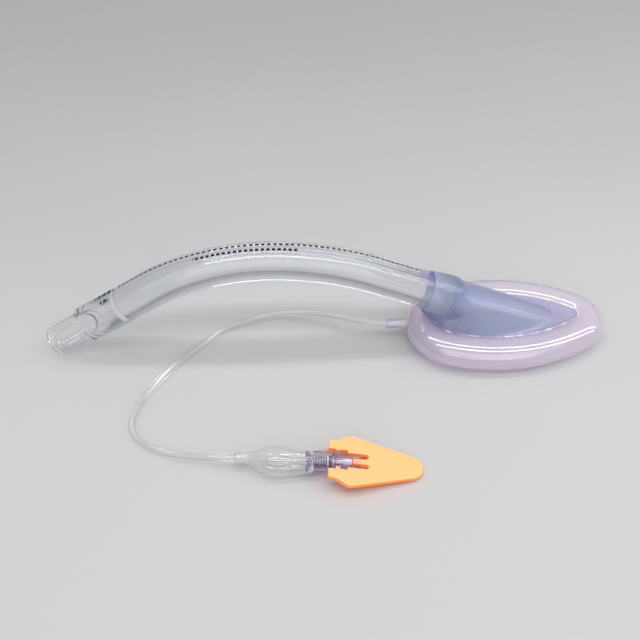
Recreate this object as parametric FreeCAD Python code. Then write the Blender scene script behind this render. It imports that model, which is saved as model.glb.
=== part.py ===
"""Laryngeal mask airway with inflation line, pilot balloon, check valve and vent tag.

The airway lies as it would on a bench: the inflated cuff flat on the surface, the breathing tube
arched over it and the mouth of the connector touching down at the other end.  +X runs from the
connector to the tip of the mask, +Z is up, and the airway is symmetrical about the plane Y = 0.
The origin is under the middle of the airway, on the surface.  All sizes are in millimetres.
"""
import FreeCAD, Part
import math
import os

from FreeCAD import Vector

# Breathing tube: a straight part, two bends that run into each other, and a straight part.
TUBE_OD = 18.4
TUBE_BORE = 13.4
TUBE_RISE_DEG = 33.4          # slope of the connector end
TUBE_FALL_DEG = 23.6          # slope of the mask end
TUBE_CREST_DEG = -2.7         # slope where the tight bend runs into the wide one
TUBE_STRAIGHT_PROXIMAL = 36.0
TUBE_BEND_TIGHT_R = 106.0
TUBE_BEND_WIDE_R = 136.0
TUBE_STRAIGHT_DISTAL = 26.4   # up to the rim of the mask's socket

# Connector: 15 mm male cone, collar, and the spigot inside the tube.
CONE_MOUTH_OD = 15.07
CONE_TAPER = 1.0 / 40.0       # on the diameter
CONE_LENGTH = 19.7
CONE_EDGE_ROUND = 0.4
COLLAR_OD = 19.2
COLLAR_THICKNESS = 2.6
COLLAR_ROUND = 0.7
SPIGOT_LENGTH = 19.4
SPIGOT_CHAMFER = 0.5
CONNECTOR_BORE = 12.2
SPIGOT_PLAY = 0.02            # on the radius, between spigot and tube bore

# Cuff: an inflated ring of egg-shaped outline with an oval section.
CUFF_HALF_WIDTH = 20.7        # from the symmetry plane to the ring's centre line
CUFF_LENGTH = 84.3            # heel to tip along the ring's centre line
CUFF_APEX = 37.0              # heel to the widest place
CUFF_HEEL_NARROWING = 3.09    # how far the heel arc's radius is under the half width
CUFF_TIP_INNER_R = 1.28       # radius of the bowl's tip, inside the ring
CUFF_SECTION_WIDTH = 17.2
CUFF_SECTION_HEIGHT = 15.6
CUFF_WALL = 0.6
CUFF_HEEL_SETBACK = 0.9       # from the socket's rim to the heel of the centre line
PORT_OD = 4.8
PORT_LENGTH = 10.2
PORT_RAISE = 2.6              # above the ring's centre

# Backplate: boat-shaped shell, closed heel, and the socket that holds the tube.
SOCKET_WALL = 1.45
SOCKET_LIP = 0.5              # wall at the rim, from where the socket flares
SOCKET_FLARE = 10.6
SOCKET_DEPTH = 14.5
SOCKET_END = 1.0              # web between the tube's end and the bowl
RIDGE_DROP = 2.4              # step from the socket down to the shell's ridge
SOCKET_PLAY = 0.02
SHELL_WALL = 1.6
SEAM_HEIGHT = 13.5            # where the shell meets the ring
FLANGE_THICKNESS = 1.6
PLATE_SINK = 1.1              # how far the shell's base is under the seam
PLATE_TIP_GAP = 4.2           # from the cuff's inner edge back to the shell's tip
PLATE_SIDE_GAP = 5.5          # from the ring's centre line in to the shell's widest place
PLATE_HEEL_GAP = 6.0          # from the ring's centre line in to the shell's heel
PLATE_APEX_BACK = 3.0         # the shell is widest this far behind the cuff's apex
RIDGE_BITE = 0.6              # how far the ridge's crest starts inside the sleeve's end
RIDGE_HALF_WIDTH = 6.5
RIDGE_HEEL = 6.5              # the ridge's flat top starts this far behind its crest
RIDGE_APEX = 2.5
GUSSET_REACH = 2.5            # how far the gusset under the socket reaches behind the rim
GUSSET_TOP = 0.45             # share of the shell's height where it does
SHELL_HEEL_POWER = 2.2        # bluntness of the shell's waterlines at the heel
SHELL_TIP_POWER = 1.27        # and at the tip, at the base
SHELL_RIDGE_POWER = 2.0       # and at the tip, at the ridge
SHELL_FLARE = 1.2             # how the shell's sides lean in towards the ridge
BOWL_HEEL_POWER = 3.0
BOWL_TIP_POWER = 1.4
BOWL_SIDE = 2.08              # wall at the bowl's sides, measured level
LUMEN_BORE = 13.4
BAR_WIDTH = 1.5
BAR_DEPTH = 2.0
BAR_SPACING = 4.8
BAR_BITE = 1.0                # how far the bars' ends reach into the wall

# Inflation line.
LINE_OD = 3.2
LINE_PLAY = 0.03              # in the port and in the balloon's sleeve
LINE_IN_PORT = 6.0
LINE_IN_SLEEVE = 6.2
LINE_STRAIGHT = 4.5            # last corner of the line, before the sleeve

# Pilot balloon: sleeve, film bulb and the neck that grips the valve.
BALLOON_SLEEVE_OD = 4.9
BALLOON_SLEEVE_LENGTH = 7.0
BALLOON_SLEEVE_OFFSET = 1.8   # the film pulls the sleeve to one side of the valve's axis
BALLOON_BULB_LENGTH = 25.9
BALLOON_BULB_WIDTH = 14.2
BALLOON_BULB_HEIGHT = 12.6
BALLOON_NECK_LENGTH = 3.0
BALLOON_VALVE_INSET = 0.6     # how far the valve reaches past the straight neck into the bulb
BALLOON_FILM = 0.3

# Check valve.
VALVE_BODY_OD = 9.7
VALVE_BODY_LENGTH = 13.4
VALVE_LUER_LENGTH = 11.4
VALVE_LUER_ROOT_OD = 7.7
VALVE_LUER_TIP_OD = 6.1
VALVE_RIM_OD = 6.5
VALVE_RIM_LENGTH = 0.9
VALVE_LUER_BORE = 4.3         # at the mouth, 6 in 100 taper
VALVE_LUER_TAPER = 0.06
VALVE_CHAMBER_BORE = 6.8
VALVE_SEAT = 11.75            # from the back of the body to the seat
VALVE_SEAT_HOLE = 3.3
BASE_LENGTH = 1.4
BASE_SETBACK = 0.2
BASE_VENT_OD = 0.9
BASE_OD = 7.8
BASE_HOLE = 2.6
BASE_VENTS = 3
BASE_PLAY = 0.03
SEAL_OD = 5.3
SEAL_THICKNESS = 1.35
SEAL_GAP = 0.05               # between the seal and the seat
PLUNGER_STEM = 1.7
PLUNGER_HEAD_OD = 3.0
PLUNGER_HEAD_LENGTH = 4.1
PLUNGER_HEAD_BACK = 8.2       # from the mouth of the luer to the back of the head
PLUNGER_FLANGE_OD = 5.4
PLUNGER_FLANGE = 0.6
PLUNGER_GUIDE = 2.2
PLUNGER_GUIDE_LENGTH = 5.6
SPRING_OD = 4.5
SPRING_WIRE = 0.45
SPRING_TURNS = 7
SPRING_GAP = 0.08
VALVE_CHAMFER = 0.5           # at the front edge of the body
VALVE_SMALL_CHAMFER = 0.3     # on the plunger, the seal and the luer's rim
SEAT_THICKNESS = 1.2
SEAT_FUNNEL = 0.8             # from the seat's hole out to the luer's bore

# Vent tag: flat arrow-shaped tab whose tongue enters the luer.
TAG_THICKNESS = 2.0
TAG_LENGTH = 43.4
TAG_WIDTH = 27.1
TAG_ARM_WIDTH = 20.2          # over the two arms at their ends
TAG_ARM_REACH = 14.8          # how far the arms reach back from the mouth of the luer
TAG_SHOULDER = 9.5            # from the arms' ends to the widest place
TAG_TIP_ROUND = 6.0
TAG_NOTCH_WIDTH = 10.9
TAG_NOTCH_FRONT = -6.0        # front of the wide notch, from the mouth of the luer
TAG_SLOT_WIDTH = 8.0          # over both slots
TAG_SLOT_FRONT = 3.6
TAG_TONGUE_WIDTH = 2.8
TAG_TONGUE_THICKNESS = 1.6
TAG_TONGUE_GAP = 0.3          # between the tongue and the plunger's head
TAG_NUB = 1.9
TAG_NUB_OVERHANG = 1.0
TAG_NUB_BACK = 10.5
TAG_TILT_DEG = 8.5            # the tag's tip hangs down to the surface
TAG_TWIST_DEG = 1.0
TAG_PIVOT = -2.0              # the tag is askew about this point inside the luer
TAG_CORNER = 1.2              # round corners at the arms' ends
TAG_EDGE_ROUND = 0.4
TAG_FLOW_ARM = 3.6            # the outline leaves the arm here, from its end
TAG_FLOW_SHOULDER = 3.0       # and bends over the shoulder for this far, before and after it
TAG_FLOW_RISE = 1.4           # how much narrower it is where that bend starts
TAG_FLOW_FALL = 0.45          # and where it ends
TAG_NUB_FOOT = 1.4            # how far the nub's foot reaches out from the notch
TAG_NUB_TOP = 0.9             # height of the nub over the tag's face
TAG_NUB_BROW = 0.4            # share of the foot that is under the nub's flat top
TAG_FLOW_EASE = 0.125         # share of the rise to the shoulder that is made near the arm
TAG_TONGUE_BITE = 0.5         # how far the tongue's root reaches into the plate

# How the pilot balloon and valve lie beside the airway.
PILOT_HEADING_DEG = -3.4
PILOT_START_X = -46.5
PILOT_START_Y = -78.5

# The line's route between the port and the pilot balloon, as it lies beside the airway.
LINE_ROUTE = [
    (23.6, 0.0, 10.4),
    (11.8, 5.2, 9.6),
    (0.4, 10.6, 7.9),
    (-11.8, 15.2, 5.6),
    (-24.6, 17.0, 3.9),
    (-37.0, 14.9, 2.7),
    (-48.0, 10.8, 2.0),
    (-57.4, 4.8, 1.7),
    (-66.2, -2.8, 1.65),
    (-74.6, -11.9, 1.65),
    (-82.4, -21.7, 1.65),
    (-89.3, -31.9, 1.65),
    (-94.3, -42.4, 1.65),
    (-96.4, -52.2, 1.65),
    (-93.0, -60.5, 1.65),
    (-85.2, -66.4, 1.7),
    (-75.6, -70.8, 2.3),
    (-65.4, -73.5, 3.7),
    (-57.8, -75.1, 5.2),
]

# How the solids are made.
CLEAR = 1.0                   # a cutting shape reaches this far past the faces it cuts
CHANNEL_BACK = 6.0            # the tube's channel is cut clear this far behind the socket's rim
LUMEN_AHEAD = 10.0            # and the lumen this far ahead of the tube's end
LINE_TRIM = 0.45              # share of its shorter leg that each of the line's arcs takes
WATERLINE_STEPS = 9           # points on each quarter of the shell's outlines

# Values that follow from the sizes above.
RISE = math.radians(TUBE_RISE_DEG)
FALL = math.radians(TUBE_FALL_DEG)
CREST = math.radians(TUBE_CREST_DEG)
CUFF_A = CUFF_SECTION_WIDTH / 2
CUFF_B = CUFF_SECTION_HEIGHT / 2
SOCKET_R = TUBE_OD / 2 + SOCKET_PLAY + SOCKET_WALL
CONNECTOR_TO_TUBE = CONE_LENGTH + COLLAR_THICKNESS


def polar(angle):
    """Unit vector in the symmetry plane, at an angle above +X."""
    return Vector(math.cos(angle), 0, math.sin(angle))


def tube_stations():
    """Points where the tube's straight parts and bends meet, from the connector's mouth."""
    mouth_r = CONE_MOUTH_OD / 2
    mouth = Vector(0, 0, mouth_r * math.cos(RISE))
    collar = mouth + polar(RISE) * CONNECTOR_TO_TUBE
    bend_start = collar + polar(RISE) * TUBE_STRAIGHT_PROXIMAL
    down = math.pi / 2
    centre = bend_start + polar(RISE - down) * TUBE_BEND_TIGHT_R
    tight_mid = centre + polar((RISE + CREST) / 2 + down) * TUBE_BEND_TIGHT_R
    crest = centre + polar(CREST + down) * TUBE_BEND_TIGHT_R
    centre = crest + polar(CREST - down) * TUBE_BEND_WIDE_R
    wide_mid = centre + polar((CREST - FALL) / 2 + down) * TUBE_BEND_WIDE_R
    bend_end = centre + polar(down - FALL) * TUBE_BEND_WIDE_R
    rim = bend_end + polar(-FALL) * TUBE_STRAIGHT_DISTAL
    seat = rim + polar(-FALL) * SOCKET_DEPTH
    return [mouth, collar, bend_start, tight_mid, crest, wide_mid, bend_end, rim, seat]


def centred(stations):
    """Shift the stations along X so that the whole airway is centred on the origin."""
    rim = stations[-2]
    low = stations[0].x - CONE_MOUTH_OD / 2 * math.sin(RISE)
    high = rim.x + CUFF_HEEL_SETBACK + CUFF_LENGTH + CUFF_A
    shift = Vector(-(low + high) / 2, 0, 0)
    return [point + shift for point in stations]


STATIONS = centred(tube_stations())
MOUTH, COLLAR, BEND_START, TIGHT_MID, CREST_POINT, WIDE_MID, BEND_END, RIM, SEAT = STATIONS
CUFF_HEEL_X = RIM.x + CUFF_HEEL_SETBACK
CUFF_TIP_X = CUFF_HEEL_X + CUFF_LENGTH


def revolved(profile):
    """Solid of revolution about +X from (distance along X, radius) pairs, closed on the axis side."""
    points = [Vector(x, 0, r) for x, r in profile]
    wire = Part.makePolygon(points + points[:1])
    return Part.Face(wire).revolve(Vector(0, 0, 0), Vector(1, 0, 0), 360)


def along(shape, point, direction):
    """Move a shape built along +X so that it starts at a point and runs in a direction."""
    turned = shape.copy()
    place = FreeCAD.Placement(point, FreeCAD.Rotation(Vector(1, 0, 0), direction))
    turned.Placement = place.multiply(shape.Placement)
    return turned


def rod(radius, start, end):
    """Solid cylinder between two points."""
    span = end - start
    return Part.makeCylinder(radius, span.Length, start, span)


def swept(path_edges, radius):
    """Solid of round section along a chain of tangent edges."""
    first = path_edges[0]
    start = first.valueAt(first.FirstParameter)
    tangent = first.tangentAt(first.FirstParameter)
    section = Part.Wire(Part.makeCircle(radius, start, tangent))
    return Part.Wire(path_edges).makePipeShell([section], True, False)


def rounded_edges(shape, radius, chosen):
    """Round the edges of a shape that a test picks."""
    edges = [edge for edge in shape.Edges if chosen(edge)]
    return shape.makeFillet(radius, edges)


def tube_path():
    """Centre line of the breathing tube from the collar to its seat in the socket."""
    return [
        Part.LineSegment(COLLAR, BEND_START).toShape(),
        Part.Arc(BEND_START, TIGHT_MID, CREST_POINT).toShape(),
        Part.Arc(CREST_POINT, WIDE_MID, BEND_END).toShape(),
        Part.LineSegment(BEND_END, SEAT).toShape(),
    ]


def airway_tube():
    path = tube_path()
    return swept(path, TUBE_OD / 2).cut(swept(path, TUBE_BORE / 2))


def tube_connector():
    """Cone, collar and spigot, moulded in one piece and bored through."""
    mouth = CONE_MOUTH_OD / 2
    root = mouth + CONE_LENGTH * CONE_TAPER / 2
    spigot = TUBE_BORE / 2 - SPIGOT_PLAY
    bore = CONNECTOR_BORE / 2
    collar = COLLAR_OD / 2
    end = CONNECTOR_TO_TUBE + SPIGOT_LENGTH
    body = revolved([
        (0, bore),
        (0, mouth),
        (CONE_LENGTH, root),
        (CONE_LENGTH, collar),
        (CONNECTOR_TO_TUBE, collar),
        (CONNECTOR_TO_TUBE, spigot),
        (end - SPIGOT_CHAMFER, spigot),
        (end, spigot - SPIGOT_CHAMFER),
        (end, bore),
    ])

    def ring_at(x, radius):
        return lambda edge: (
            abs(edge.BoundBox.XMin - x) < 1e-6 and abs(edge.BoundBox.XMax - x) < 1e-6
            and abs(edge.BoundBox.ZMax - radius) < 1e-6
        )

    body = rounded_edges(body, CONE_EDGE_ROUND, ring_at(0, mouth))
    body = rounded_edges(body, COLLAR_ROUND, ring_at(CONE_LENGTH, collar))
    return along(body, MOUTH, polar(RISE))


def ring_path(flat=False):
    """Egg-shaped centre line of the cuff: end arcs and side arcs, all tangent, widest at the apex."""
    height = 0 if flat else CUFF_B
    apex_x = CUFF_HEEL_X + CUFF_APEX

    def half(end_x, end_r, side):
        """End point, where the end arc meets the side arc, and the middle of the side arc."""
        reach = abs(end_x - apex_x)
        wide = CUFF_HALF_WIDTH
        side_r = (wide ** 2 + reach ** 2 - 2 * end_r * reach) / (2 * (wide - end_r))
        ahead = math.copysign(1, end_x - apex_x)
        end_centre = Vector(end_x - ahead * end_r, 0, height)
        side_centre = Vector(apex_x, side * (wide - side_r), height)
        joint = side_centre + (end_centre - side_centre).normalize() * side_r
        apex = Vector(apex_x, side * wide, height)
        middle = side_centre + ((joint + apex) * 0.5 - side_centre).normalize() * side_r
        return joint, middle, apex

    heel, tip = Vector(CUFF_HEEL_X, 0, height), Vector(CUFF_TIP_X, 0, height)
    heel_r, tip_r = CUFF_HALF_WIDTH - CUFF_HEEL_NARROWING, CUFF_A + CUFF_TIP_INNER_R
    heel_left, side_1, left = half(CUFF_HEEL_X, heel_r, 1)
    heel_right, side_4, right = half(CUFF_HEEL_X, heel_r, -1)
    tip_left, side_2, _ = half(CUFF_TIP_X, tip_r, 1)
    tip_right, side_3, _ = half(CUFF_TIP_X, tip_r, -1)
    stops = [
        (heel_right, heel, heel_left),
        (heel_left, side_1, left),
        (left, side_2, tip_left),
        (tip_left, tip, tip_right),
        (tip_right, side_3, right),
        (right, side_4, heel_right),
    ]
    return [Part.Arc(*three).toShape() for three in stops]


def ring(half_width, half_height):
    """Solid ring of oval section along the cuff's centre line."""
    path = ring_path()
    start = path[0].valueAt(path[0].FirstParameter)
    tangent = path[0].tangentAt(path[0].FirstParameter)
    across = tangent.cross(Vector(0, 0, 1)).normalize()
    oval = Part.Ellipse(start + across * half_width, start + Vector(0, 0, half_height), start)
    section = Part.Wire(oval.toShape())
    return Part.Wire(path).makePipeShell([section], True, False)


def mask_cuff():
    """Inflated cuff, hollow, with the port that the inflation line enters."""
    height = CUFF_B + PORT_RAISE
    outside = Vector(CUFF_HEEL_X - CUFF_A, 0, height)
    inside = Vector(CUFF_HEEL_X - CUFF_A + 2 * CUFF_WALL, 0, height)
    mouth = outside - Vector(PORT_LENGTH, 0, 0)
    port = rod(PORT_OD / 2, mouth, inside)
    clear = Vector(CLEAR, 0, 0)
    hole = rod(LINE_OD / 2 + LINE_PLAY, mouth - clear, inside + clear)
    hollow = ring(CUFF_A - CUFF_WALL, CUFF_B - CUFF_WALL)
    return ring(CUFF_A, CUFF_B).fuse(port).cut(hollow).cut(hole).removeSplitter()


def waterline(height, heel, apex, tip, half_width, heel_power, tip_power):
    """Closed horizontal outline of the shell: blunt at the heel, more pointed at the tip."""
    points = []
    for side in (1, -1):
        quarter = []
        for k in range(WATERLINE_STEPS):
            t = math.cos(math.pi / 2 * k / WATERLINE_STEPS)
            y = half_width * math.sqrt(max(0.0, 1 - t ** tip_power))
            quarter.append((apex + (tip - apex) * t, side * y))
        for k in range(WATERLINE_STEPS):
            t = math.sin(math.pi / 2 * k / WATERLINE_STEPS)
            y = half_width * math.sqrt(max(0.0, 1 - t ** heel_power))
            quarter.append((apex + (heel - apex) * t, side * y))
        quarter.append((heel, 0.0))
        points.append(quarter)
    loop = points[0] + points[1][-2:0:-1]
    curve = Part.BSplineCurve()
    curve.interpolate([Vector(x, y, height) for x, y in loop], PeriodicFlag=True)
    return Part.Wire(curve.toShape())


# The shell's ridge runs straight from the top of the sleeve round the tube's end to the plate's tip.
SLEEVE_END = SEAT + polar(-FALL) * SOCKET_END
RIDGE_TOP = SLEEVE_END - polar(-FALL) * RIDGE_BITE + polar(math.pi / 2 - FALL) * (SOCKET_R - RIDGE_DROP)
PLATE_TIP_X = CUFF_TIP_X - CUFF_A - PLATE_TIP_GAP
PLATE_BASE = SEAM_HEIGHT - PLATE_SINK
PLATE_HALF_WIDTH = CUFF_HALF_WIDTH - PLATE_SIDE_GAP
PLATE_HEEL_X = CUFF_HEEL_X + PLATE_HEEL_GAP
PLATE_APEX_X = CUFF_HEEL_X + CUFF_APEX - PLATE_APEX_BACK
GUSSET_X = RIM.x - GUSSET_REACH
SHELL_LEVELS = (0.0, 0.2, 0.4, 0.6, 0.8, 1.0)


def shell_height(share):
    return PLATE_BASE + share * (RIDGE_TOP.z - PLATE_BASE)


def shell_half_width(share):
    return PLATE_HALF_WIDTH - (PLATE_HALF_WIDTH - RIDGE_HALF_WIDTH) * share ** SHELL_FLARE


def shell_tip(share):
    return PLATE_TIP_X + share * (RIDGE_TOP.x - PLATE_TIP_X)


def shell_heel(share):
    """The heel leans back under the socket, then forward along it."""
    if share < GUSSET_TOP:
        return PLATE_HEEL_X + (GUSSET_X - PLATE_HEEL_X) * share / GUSSET_TOP
    rest = (share - GUSSET_TOP) / (1 - GUSSET_TOP)
    return GUSSET_X + (RIDGE_TOP.x - RIDGE_HEEL - GUSSET_X) * rest


def shell_apex(share):
    return PLATE_APEX_X + share * (RIDGE_TOP.x - RIDGE_APEX - PLATE_APEX_X)


def shell_outside():
    ridge_gain = SHELL_RIDGE_POWER - SHELL_TIP_POWER
    lines = []
    for share in SHELL_LEVELS:
        lines.append(waterline(
            shell_height(share), shell_heel(share), shell_apex(share), shell_tip(share),
            shell_half_width(share), SHELL_HEEL_POWER, SHELL_TIP_POWER + share * ridge_gain,
        ))
    return Part.makeLoft(lines, True, False)


def shell_inside():
    """The bowl: the same lines, a wall's thickness inside, with a heel wall along the tube's end."""
    lines = []
    for share in SHELL_LEVELS[:-1]:
        height = shell_height(share)
        if share == 0:
            height -= CLEAR
        heel = SEAT.x + (FLANGE_THICKNESS + (height - SEAT.z) * math.sin(FALL)) / math.cos(FALL)
        tip = shell_tip(share) - SHELL_WALL / math.sin(FALL)
        apex = max(shell_apex(share), (heel + tip) / 2)
        half_width = shell_half_width(share) - BOWL_SIDE
        lines.append(waterline(height, heel, apex, tip, half_width, BOWL_HEEL_POWER, BOWL_TIP_POWER))
    return Part.makeLoft(lines, True, False)


def mask_backplate():
    """Shell, flange, socket and the two bars across the tube's mouth, moulded in one piece."""
    axis = polar(-FALL)
    length = SOCKET_DEPTH + SOCKET_END
    socket = along(revolved([
        (0, 0),
        (0, SOCKET_R - SOCKET_WALL + SOCKET_LIP),
        (SOCKET_FLARE, SOCKET_R),
        (length - SOCKET_WALL, SOCKET_R),
        (length, SOCKET_R - SOCKET_WALL),
        (length, 0),
    ]), RIM, axis)
    flange_wire = Part.Wire(ring_path(flat=True))
    flange = Part.Face(flange_wire).extrude(Vector(0, 0, FLANGE_THICKNESS))
    flange.translate(Vector(0, 0, PLATE_BASE))
    body = shell_outside().fuse([socket, flange])
    body = body.cut(shell_inside())
    body = body.cut(rod(TUBE_OD / 2 + SOCKET_PLAY, RIM - axis * CHANNEL_BACK, SEAT))
    body = body.cut(rod(LUMEN_BORE / 2, SEAT - axis * CLEAR, SEAT + axis * LUMEN_AHEAD))
    body = body.cut(ring(CUFF_A, CUFF_B))
    for side in (-1, 1):
        bar = Part.makeBox(BAR_DEPTH, BAR_WIDTH, LUMEN_BORE + 2 * BAR_BITE)
        bar.translate(Vector(0, side * BAR_SPACING / 2 - BAR_WIDTH / 2, -LUMEN_BORE / 2 - BAR_BITE))
        body = body.fuse(along(bar, SEAT, axis))
    return body


# Local axis of the pilot balloon and valve: +X from the sleeve to the mouth of the luer.
VALVE_BACK = BALLOON_SLEEVE_LENGTH + BALLOON_BULB_LENGTH - BALLOON_VALVE_INSET
VALVE_FRONT = VALVE_BACK + VALVE_BODY_LENGTH + VALVE_LUER_LENGTH
PILOT_START = Vector(PILOT_START_X, PILOT_START_Y, BALLOON_BULB_HEIGHT / 2)
PILOT_TURN = FreeCAD.Rotation(Vector(0, 0, 1), PILOT_HEADING_DEG)
PILOT_PLACE = FreeCAD.Placement(PILOT_START, PILOT_TURN)
SLEEVE_START = Vector(0, BALLOON_SLEEVE_OFFSET, 0)


def on_pilot(shape):
    """Place a shape built in the pilot's local frame."""
    placed = shape.copy()
    placed.Placement = PILOT_PLACE.multiply(shape.Placement)
    return placed


# Stations of the bulb: share of its length, fullness, and how far it is still off the axis.
ALL_BUT_ROUND = 1 - 1e-12
BULB_FROM_SLEEVE = ((0.08, 0.2, 1.0), (0.2, 0.58, 0.7), (0.35, 0.9, 0.3), (0.52, 1.0, 0.05))
BULB_TO_NECK = ((0.72, 0.75, 0.0), (0.88, 0.25, 0.0), (1.0, 0.0, 0.0))


def oval(centre, half_width, half_height):
    """Closed line round +X, at least as wide as it is high, and all but round where they are alike."""
    across = centre + Vector(0, half_width, 0)
    up = centre + Vector(0, 0, min(half_height, half_width * ALL_BUT_ROUND))
    return Part.Wire(Part.Ellipse(across, up, centre).toShape())


def bulb(inset):
    """Loft of ovals along the pilot's axis, drawn in by an inset for the inside of the film."""
    sleeve = BALLOON_SLEEVE_OD / 2
    neck = VALVE_BODY_OD / 2 + BALLOON_FILM
    wide = BALLOON_BULB_WIDTH / 2
    high = BALLOON_BULB_HEIGHT / 2
    rows = [(0, sleeve, sleeve, 1.0)]
    for share, full, off in BULB_FROM_SLEEVE:
        rows.append((share, sleeve + full * (wide - sleeve), sleeve + full * (high - sleeve), off))
    for share, full, off in BULB_TO_NECK:
        rows.append((share, neck + full * (wide - neck), neck + full * (high - neck), off))
    wires = []
    for share, half_width, half_height, off in rows:
        x = BALLOON_SLEEVE_LENGTH + share * BALLOON_BULB_LENGTH
        centre = Vector(x, off * BALLOON_SLEEVE_OFFSET, 0)
        wires.append(oval(centre, half_width - inset, half_height - inset))
    return Part.makeLoft(wires, True, False)


def pilot_balloon():
    """Film bulb with the sleeve on the line at one end and the neck on the valve at the other."""
    along_x = Vector(1, 0, 0)
    clear = along_x * CLEAR
    start = BALLOON_SLEEVE_LENGTH
    end = start + BALLOON_BULB_LENGTH
    neck = VALVE_BODY_OD / 2
    sleeve = rod(BALLOON_SLEEVE_OD / 2, SLEEVE_START, SLEEVE_START + along_x * start)
    grip = rod(neck + BALLOON_FILM, along_x * end, along_x * (end + BALLOON_NECK_LENGTH))
    hole = rod(LINE_OD / 2 + LINE_PLAY, SLEEVE_START - clear, SLEEVE_START + along_x * start + clear)
    seat = rod(neck, along_x * VALVE_BACK - clear, along_x * (end + BALLOON_NECK_LENGTH) + clear)
    return on_pilot(sleeve.fuse([bulb(0), grip]).cut([bulb(BALLOON_FILM), hole, seat]))


def valve_part(profile):
    """Turned piece of the valve, given from the back of its body."""
    return revolved([(VALVE_BACK + x, r) for x, r in profile])


def luer_bore(x):
    """Radius of the tapered bore at a distance from the back of the body."""
    depth = VALVE_BODY_LENGTH + VALVE_LUER_LENGTH - x
    return (VALVE_LUER_BORE - depth * VALVE_LUER_TAPER) / 2


def valve_housing():
    """Clear body with its spring chamber, the seat for the seal and the luer socket."""
    body = VALVE_BODY_LENGTH
    front = body + VALVE_LUER_LENGTH
    outer = VALVE_BODY_OD / 2
    rim = VALVE_RIM_OD / 2
    seat_end = VALVE_SEAT + SEAT_THICKNESS
    return on_pilot(valve_part([
        (0, BASE_OD / 2 + BASE_PLAY),
        (0, outer),
        (body - VALVE_CHAMFER, outer),
        (body, outer - VALVE_CHAMFER),
        (body, VALVE_LUER_ROOT_OD / 2),
        (front - VALVE_RIM_LENGTH - VALVE_SMALL_CHAMFER, VALVE_LUER_TIP_OD / 2),
        (front - VALVE_RIM_LENGTH, rim),
        (front, rim),
        (front, luer_bore(front)),
        (seat_end + SEAT_FUNNEL, luer_bore(seat_end + SEAT_FUNNEL)),
        (seat_end, VALVE_SEAT_HOLE / 2),
        (VALVE_SEAT, VALVE_SEAT_HOLE / 2),
        (VALVE_SEAT, VALVE_CHAMBER_BORE / 2),
        (BASE_LENGTH, VALVE_CHAMBER_BORE / 2),
        (BASE_LENGTH, BASE_OD / 2 + BASE_PLAY),
    ]))


def valve_base():
    """Ring pressed into the back of the body: it carries the spring and lets the air past."""
    outer = BASE_OD / 2
    through = Vector(BASE_LENGTH + CLEAR, 0, 0)
    disc = valve_part([(BASE_SETBACK, 0), (BASE_SETBACK, outer), (BASE_LENGTH, outer), (BASE_LENGTH, 0)])
    holes = [rod(BASE_HOLE / 2, Vector(VALVE_BACK, 0, 0), Vector(VALVE_BACK, 0, 0) + through)]
    reach = (SPRING_OD / 2 + outer) / 2
    for k in range(BASE_VENTS):
        turn = 2 * math.pi * k / BASE_VENTS
        spot = Vector(VALVE_BACK, reach * math.cos(turn), reach * math.sin(turn))
        holes.append(rod(BASE_VENT_OD / 2, spot, spot + through))
    return on_pilot(disc.cut(holes))


SEAL_BACK = VALVE_SEAT - SEAL_GAP - SEAL_THICKNESS
FLANGE_BACK = SEAL_BACK - PLUNGER_FLANGE
HEAD_BACK = VALVE_BODY_LENGTH + VALVE_LUER_LENGTH - PLUNGER_HEAD_BACK
HEAD_FRONT = HEAD_BACK + PLUNGER_HEAD_LENGTH


def valve_plunger():
    """White stem: guide inside the spring, flange behind the seal, and the head in the luer."""
    head = PLUNGER_HEAD_OD / 2
    chamfer = VALVE_SMALL_CHAMFER
    return on_pilot(valve_part([
        (FLANGE_BACK - PLUNGER_GUIDE_LENGTH, 0),
        (FLANGE_BACK - PLUNGER_GUIDE_LENGTH, PLUNGER_GUIDE / 2 - chamfer),
        (FLANGE_BACK - PLUNGER_GUIDE_LENGTH + chamfer, PLUNGER_GUIDE / 2),
        (FLANGE_BACK, PLUNGER_GUIDE / 2),
        (FLANGE_BACK, PLUNGER_FLANGE_OD / 2),
        (SEAL_BACK, PLUNGER_FLANGE_OD / 2),
        (SEAL_BACK, PLUNGER_STEM / 2),
        (HEAD_BACK, PLUNGER_STEM / 2),
        (HEAD_BACK, head),
        (HEAD_FRONT - chamfer, head),
        (HEAD_FRONT, head - chamfer),
        (HEAD_FRONT, 0),
    ]))


def valve_seal():
    """Rubber washer on the plunger's stem, domed towards the seat."""
    return on_pilot(valve_part([
        (SEAL_BACK, PLUNGER_STEM / 2),
        (SEAL_BACK, SEAL_OD / 2),
        (SEAL_BACK + SEAL_THICKNESS - VALVE_SMALL_CHAMFER, SEAL_OD / 2),
        (SEAL_BACK + SEAL_THICKNESS, SEAL_OD / 2 - VALVE_SMALL_CHAMFER),
        (SEAL_BACK + SEAL_THICKNESS, PLUNGER_STEM / 2),
    ]))


def valve_spring():
    """Helical spring between the base and the plunger's flange."""
    mean = (SPRING_OD - SPRING_WIRE) / 2
    back = VALVE_BACK + BASE_LENGTH + SPRING_GAP + SPRING_WIRE / 2
    length = FLANGE_BACK - BASE_LENGTH - 2 * SPRING_GAP - SPRING_WIRE
    helix = Part.makeHelix(length / SPRING_TURNS, length, mean)
    section = Part.Wire(Part.makeCircle(SPRING_WIRE / 2, Vector(mean, 0, 0), Vector(0, 1, 0)))
    coil = Part.Wire(helix.Edges).makePipeShell([section], True, True)
    coil.Placement = FreeCAD.Placement(Vector(back, 0, 0), FreeCAD.Rotation(Vector(0, 1, 0), 90))
    return on_pilot(coil)


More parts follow.
